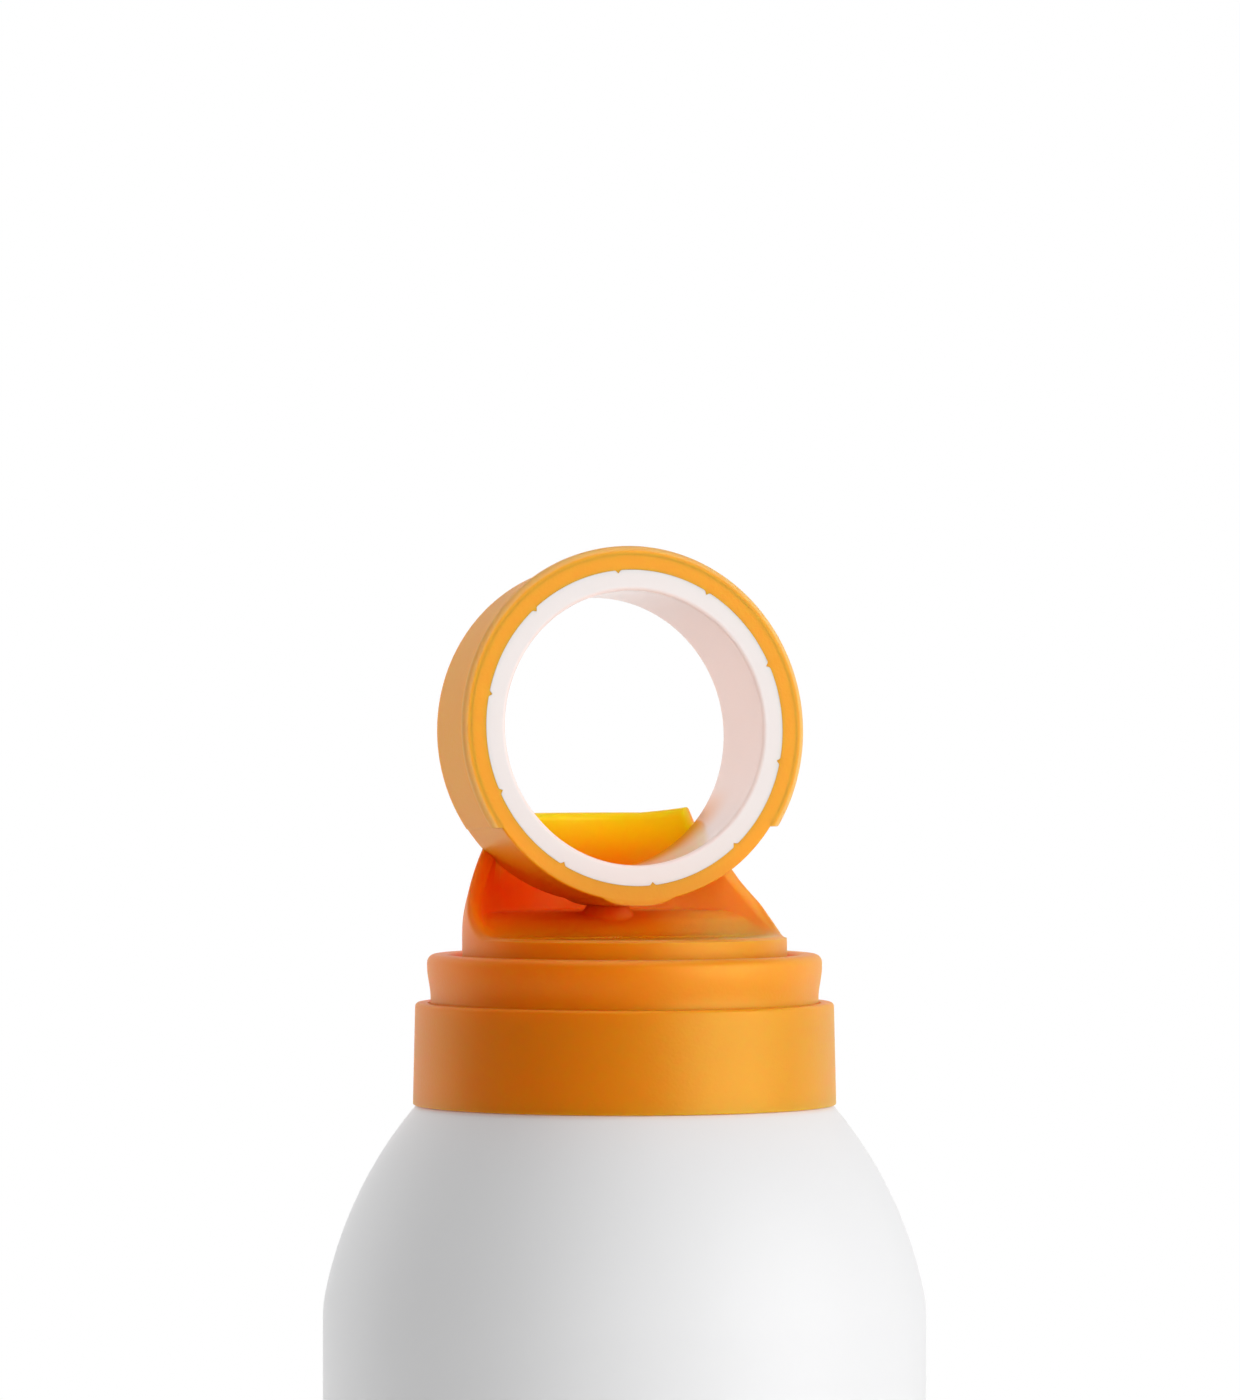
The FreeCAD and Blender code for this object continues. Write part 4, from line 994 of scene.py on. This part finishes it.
def shell_outline(angle):
    """Outline of the shell: drafted outside, a faint step at the band's ends and a foot at the bottom."""
    sin = math.sin(math.radians(angle))
    drop = LOW_STEP if sin < -BAND_LOW / SHELL_FRONT else 0.0
    across = abs(SHELL_FRONT * math.cos(math.radians(angle)))
    foot = FOOT_DROP * (1 - (across / FOOT_HALF) ** 4) if sin < 0 and across < FOOT_HALF else 0.0
    inset = FOOT_INSET * foot / FOOT_DROP
    tooth = outlet_depth(angle)
    inner = INSERT_RADIUS - tooth
    seat = INSERT_RADIUS + INSERT_PLAY
    front = SHELL_FRONT - drop
    rear = SHELL_REAR - drop
    points = [(inner, HALF_DEPTH - (OUTLET_SUNK if tooth else 0.0)), (INSERT_RADIUS + SHELL_FACE, HALF_DEPTH)]
    points += [(front - SHELL_SOFT - SHELL_FLAT, HALF_DEPTH), (front - SHELL_SOFT, HALF_DEPTH)]
    points += arc((front + foot - SHELL_SOFT, HALF_DEPTH - SHELL_SOFT - inset), SHELL_SOFT, 90, 0, steps=5)
    for step in range(SHELL_STEPS + 1):
        share = step / SHELL_STEPS
        place = HALF_DEPTH - 2 * SHELL_SOFT - (2 * HALF_DEPTH - SHELL_ENDS) * share
        points.append((front + foot + (rear - front) * share, place))
    rear_centre = (rear + foot - SHELL_REAR_SOFT, SHELL_REAR_SOFT - HALF_DEPTH)
    points += arc(rear_centre, SHELL_REAR_SOFT, 0, -90, steps=5)
    points += [(INSERT_RADIUS + INSERT_EDGE, -HALF_DEPTH), (seat, INSERT_EDGE - HALF_DEPTH)]
    points += [(seat, HALF_DEPTH - TOOTH_LENGTH - OUTLET_FADE), (inner, HALF_DEPTH - TOOTH_LENGTH)]
    return points


def insert_outline(angle):
    """Outline of the insert: a plain bore with rounded ends and notches in its outer front edge."""
    inner = INSERT_RADIUS - outlet_depth(angle)
    soft = INSERT_BORE + INSERT_SOFT
    length = 2 * (HALF_DEPTH - BORE_INSET)
    points = [(inner, HALF_DEPTH), (soft + INSERT_EDGE, HALF_DEPTH)]
    points += arc((soft, HALF_DEPTH - INSERT_SOFT), INSERT_SOFT, 90, 180)
    for step in range(BORE_STEPS + 1):
        points.append((INSERT_BORE, HALF_DEPTH - BORE_INSET - length * step / BORE_STEPS))
    points += arc((soft, INSERT_SOFT - HALF_DEPTH), INSERT_SOFT, 180, 270)
    points += [(INSERT_RADIUS - INSERT_EDGE, -HALF_DEPTH), (INSERT_RADIUS, INSERT_EDGE - HALF_DEPTH)]
    points += [(INSERT_RADIUS, OUTLET_REAR), (inner, OUTLET_REAR + OUTLET_FADE)]
    return points


def band_columns(steps=360):
    """Columns of the open front band. Both ends are level cuts below the ring's centre."""
    rear = HALF_DEPTH - BAND_DEPTH
    outline = [(SEAM_RADIUS, HALF_DEPTH), (SEAM_RADIUS, rear), (BAND_RADIUS - BAND_EDGE, rear)]
    outline += [(BAND_RADIUS, rear + BAND_EDGE)]
    outline += arc((BAND_RADIUS - BAND_SOFT, HALF_DEPTH - BAND_SOFT), BAND_SOFT, 0, 90, steps=8)
    columns = []
    for step in range(steps + 1):
        column = []
        for r, z in outline:
            start = -math.asin(BAND_LOW / r)
            a = start + (math.pi - 2 * start) * step / steps
            column.append((r * math.cos(a), r * math.sin(a), z))
        columns.append(column)
    return columns


class SPRAYCAN_OT_ring(bpy.types.Operator):
    """Shape the spray ring, its front band and its white insert"""

    bl_idname = "spraycan.ring"
    bl_label = "Spray ring"

    def execute(self, context):
        make_piece("spray_ring", skin(ring_columns(shell_outline)), RING_PLACE, "head", ["ring_shell"],
                   "ring orange")
        make_piece("open_band", skin(band_columns(), around=False), RING_PLACE, "head", ["front_band"],
                   "ring orange")
        make_piece("nozzle_insert", skin(ring_columns(insert_outline)), RING_PLACE, "head", ["ring_insert"],
                   "insert")
        return {"FINISHED"}


# stage, in metres apart from the floor's radii and the sensor's width, which are in mm

FLOOR_RADII = (0, 150, 520)
FLOOR_SIDES = 96
FLOOR_TONE = (0.9, 0.9, 0.9, 1)
FLOOR_ROUGHNESS = 0.7
FADE_FROM = 0.12
FADE_TO = 0.5
ROOM_EDGE = 0.45
LOOK_HEIGHT = 0.15
CAMERA_ASIDE = 0.0004
NEAREST = 0.01
SENSOR_WIDTH = 36

# Each lamp's turn to the right of the camera and its rise, in degrees, its distance, its width and height,
# and whether shiny faces mirror it.
LAMPS = {
    "key": (60, 10, 0.75, (0.8, 0.7), True),
    "fill": (0, 10, 0.9, (0.7, 0.6), False),
    "side": (-120, 8, 0.8, (0.4, 0.4), False),
    "top": (0, 88, 0.75, (0.7, 0.7), True),
    "back": (180, 12, 0.7, (0.5, 0.4), False),
}


def lamp(name, turn, rise, distance, size, mirrored):
    """Rectangular soft lamp round the camera's side that looks at the can's head."""
    studio = bpy.context.scene.spray_studio
    light = bpy.data.lights.new(name, "AREA")
    light.shape = "RECTANGLE"
    light.size, light.size_y = size
    light.energy = getattr(studio, name)
    thing = bpy.data.objects.new(name, light)
    bearing = studio.camera_turn - math.radians(turn)
    level = Vector((-math.sin(bearing), -math.cos(bearing), 0)) * math.cos(math.radians(rise))
    offset = (level + Vector((0, 0, math.sin(math.radians(rise))))) * distance
    thing.location = Vector((0, 0, LOOK_HEIGHT)) + offset
    thing.rotation_euler = (-offset).to_track_quat("-Z", "Y").to_euler()
    thing.visible_camera = False
    thing.visible_glossy = mirrored
    bpy.context.scene.collection.objects.link(thing)


def white_room(ahead):
    """World of a white backdrop behind the can and a darker room before it. The camera sees it all white."""
    studio = bpy.context.scene.spray_studio
    world = bpy.data.worlds.new("White room")
    bpy.context.scene.world = world
    world.use_nodes = True
    tree = world.node_tree
    back = tree.nodes["Background"]
    back.inputs["Color"].default_value = (1, 1, 1, 1)
    direction = tree.nodes.new("ShaderNodeTexCoord").outputs["Generated"]
    along = vector_math(tree, "DOT_PRODUCT", direction, ahead)["Value"]
    low = ramp_between(tree, axes_of(tree, direction)["Z"], studio.skyline, studio.skyline / 2)
    room = ramp_between(tree, product(tree, along, low), 0.0, ROOM_EDGE, studio.front, studio.backdrop)
    path = tree.nodes.new("ShaderNodeLightPath").outputs
    level = tree.nodes.new("ShaderNodeMix")
    level.inputs[3].default_value = 1.0
    seen = link_math(tree, "MAXIMUM", path["Is Camera Ray"], path["Is Transmission Ray"])
    tree.links.new(seen, level.inputs[0])
    tree.links.new(room, level.inputs[2])
    tree.links.new(level.outputs[0], back.inputs["Strength"])


def floor_material():
    """Pale floor that fades to the white room away from the can."""
    material, tree, shader = new_material("Pale floor")
    shader.inputs["Base Color"].default_value = FLOOR_TONE
    shader.inputs["Roughness"].default_value = FLOOR_ROUGHNESS
    spot = tree.nodes.new("ShaderNodeTexCoord").outputs["Object"]
    fade = ramp_between(tree, vector_math(tree, "LENGTH", spot)["Value"], FADE_FROM, FADE_TO)
    clear = tree.nodes.new("ShaderNodeBsdfTransparent")
    mix = tree.nodes.new("ShaderNodeMixShader")
    tree.links.new(fade, mix.inputs["Fac"])
    tree.links.new(shader.outputs["BSDF"], mix.inputs[1])
    tree.links.new(clear.outputs["BSDF"], mix.inputs[2])
    tree.links.new(mix.outputs["Shader"], tree.nodes["Material Output"].inputs["Surface"])
    return material


def lay_floor():
    """Round floor under the can, which belongs to the stage."""
    vertices, faces = turned([Vector((radius, 0)) for radius in FLOOR_RADII], FLOOR_SIDES, closed=False)
    mesh = bpy.data.meshes.new("floor")
    mesh.from_pydata([Vector(v) * MM for v in vertices], [], faces)
    mesh.materials.append(floor_material())
    floor = bpy.data.objects.new("floor", mesh)
    bpy.context.scene.collection.objects.link(floor)


def place_camera(ahead, right):
    """Level camera that looks ahead past the can's axis."""
    studio = bpy.context.scene.spray_studio
    camera = bpy.data.cameras.new("camera")
    camera.sensor_width = SENSOR_WIDTH
    camera.sensor_fit = "AUTO"
    camera.lens = studio.lens
    camera.clip_start = NEAREST
    eye = bpy.data.objects.new("camera", camera)
    height = Vector((0, 0, studio.camera_height))
    eye.location = -ahead * studio.camera_distance - right * CAMERA_ASIDE + height
    eye.rotation_euler = ahead.to_track_quat("-Z", "Y").to_euler()
    bpy.context.scene.collection.objects.link(eye)
    bpy.context.scene.camera = eye


class SPRAYCAN_OT_stage(bpy.types.Operator):
    """Set the floor, the lamps, the white room and the camera"""

    bl_idname = "spraycan.stage"
    bl_label = "Stage"

    def execute(self, context):
        turn = context.scene.spray_studio.camera_turn
        ahead = Vector((math.sin(turn), math.cos(turn), 0))
        right = Vector((math.cos(turn), -math.sin(turn), 0))
        lay_floor()
        white_room(ahead)
        for name, values in LAMPS.items():
            lamp(name, *values)
        place_camera(ahead, right)
        context.scene.view_settings.view_transform = "Standard"
        return {"FINISHED"}


OPERATORS = (
    SPRAYCAN_OT_can,
    SPRAYCAN_OT_valve,
    SPRAYCAN_OT_collars,
    SPRAYCAN_OT_hood,
    SPRAYCAN_OT_ring,
    SPRAYCAN_OT_stage,
)


class SPRAYCAN_PT_panel(bpy.types.Panel):
    """Settings and steps of the spray can"""

    bl_label = "Spray can"
    bl_space_type = "VIEW_3D"
    bl_region_type = "UI"
    bl_category = "Spray can"

    def draw(self, context):
        for name, kind in SETTINGS.items():
            box = self.layout.box()
            for label in kind.__annotations__:
                box.prop(getattr(context.scene, name), label)
        for operator in OPERATORS:
            self.layout.operator(operator.bl_idname)


CLASSES = (*SETTINGS.values(), *OPERATORS, SPRAYCAN_PT_panel)


def register():
    for kind in CLASSES:
        bpy.utils.register_class(kind)
    for name, kind in SETTINGS.items():
        setattr(bpy.types.Scene, name, bpy.props.PointerProperty(type=kind))


def unregister():
    for name in SETTINGS:
        delattr(bpy.types.Scene, name)
    for kind in reversed(CLASSES):
        bpy.utils.unregister_class(kind)


def main():
    """Build the whole scene: register the settings, make the finishes and run every step."""
    register()
    FINISHES.update(build_finishes())
    for operator in OPERATORS:
        group, name = operator.bl_idname.split(".")
        getattr(getattr(bpy.ops, group), name)()


if __name__ == "__main__":
    main()
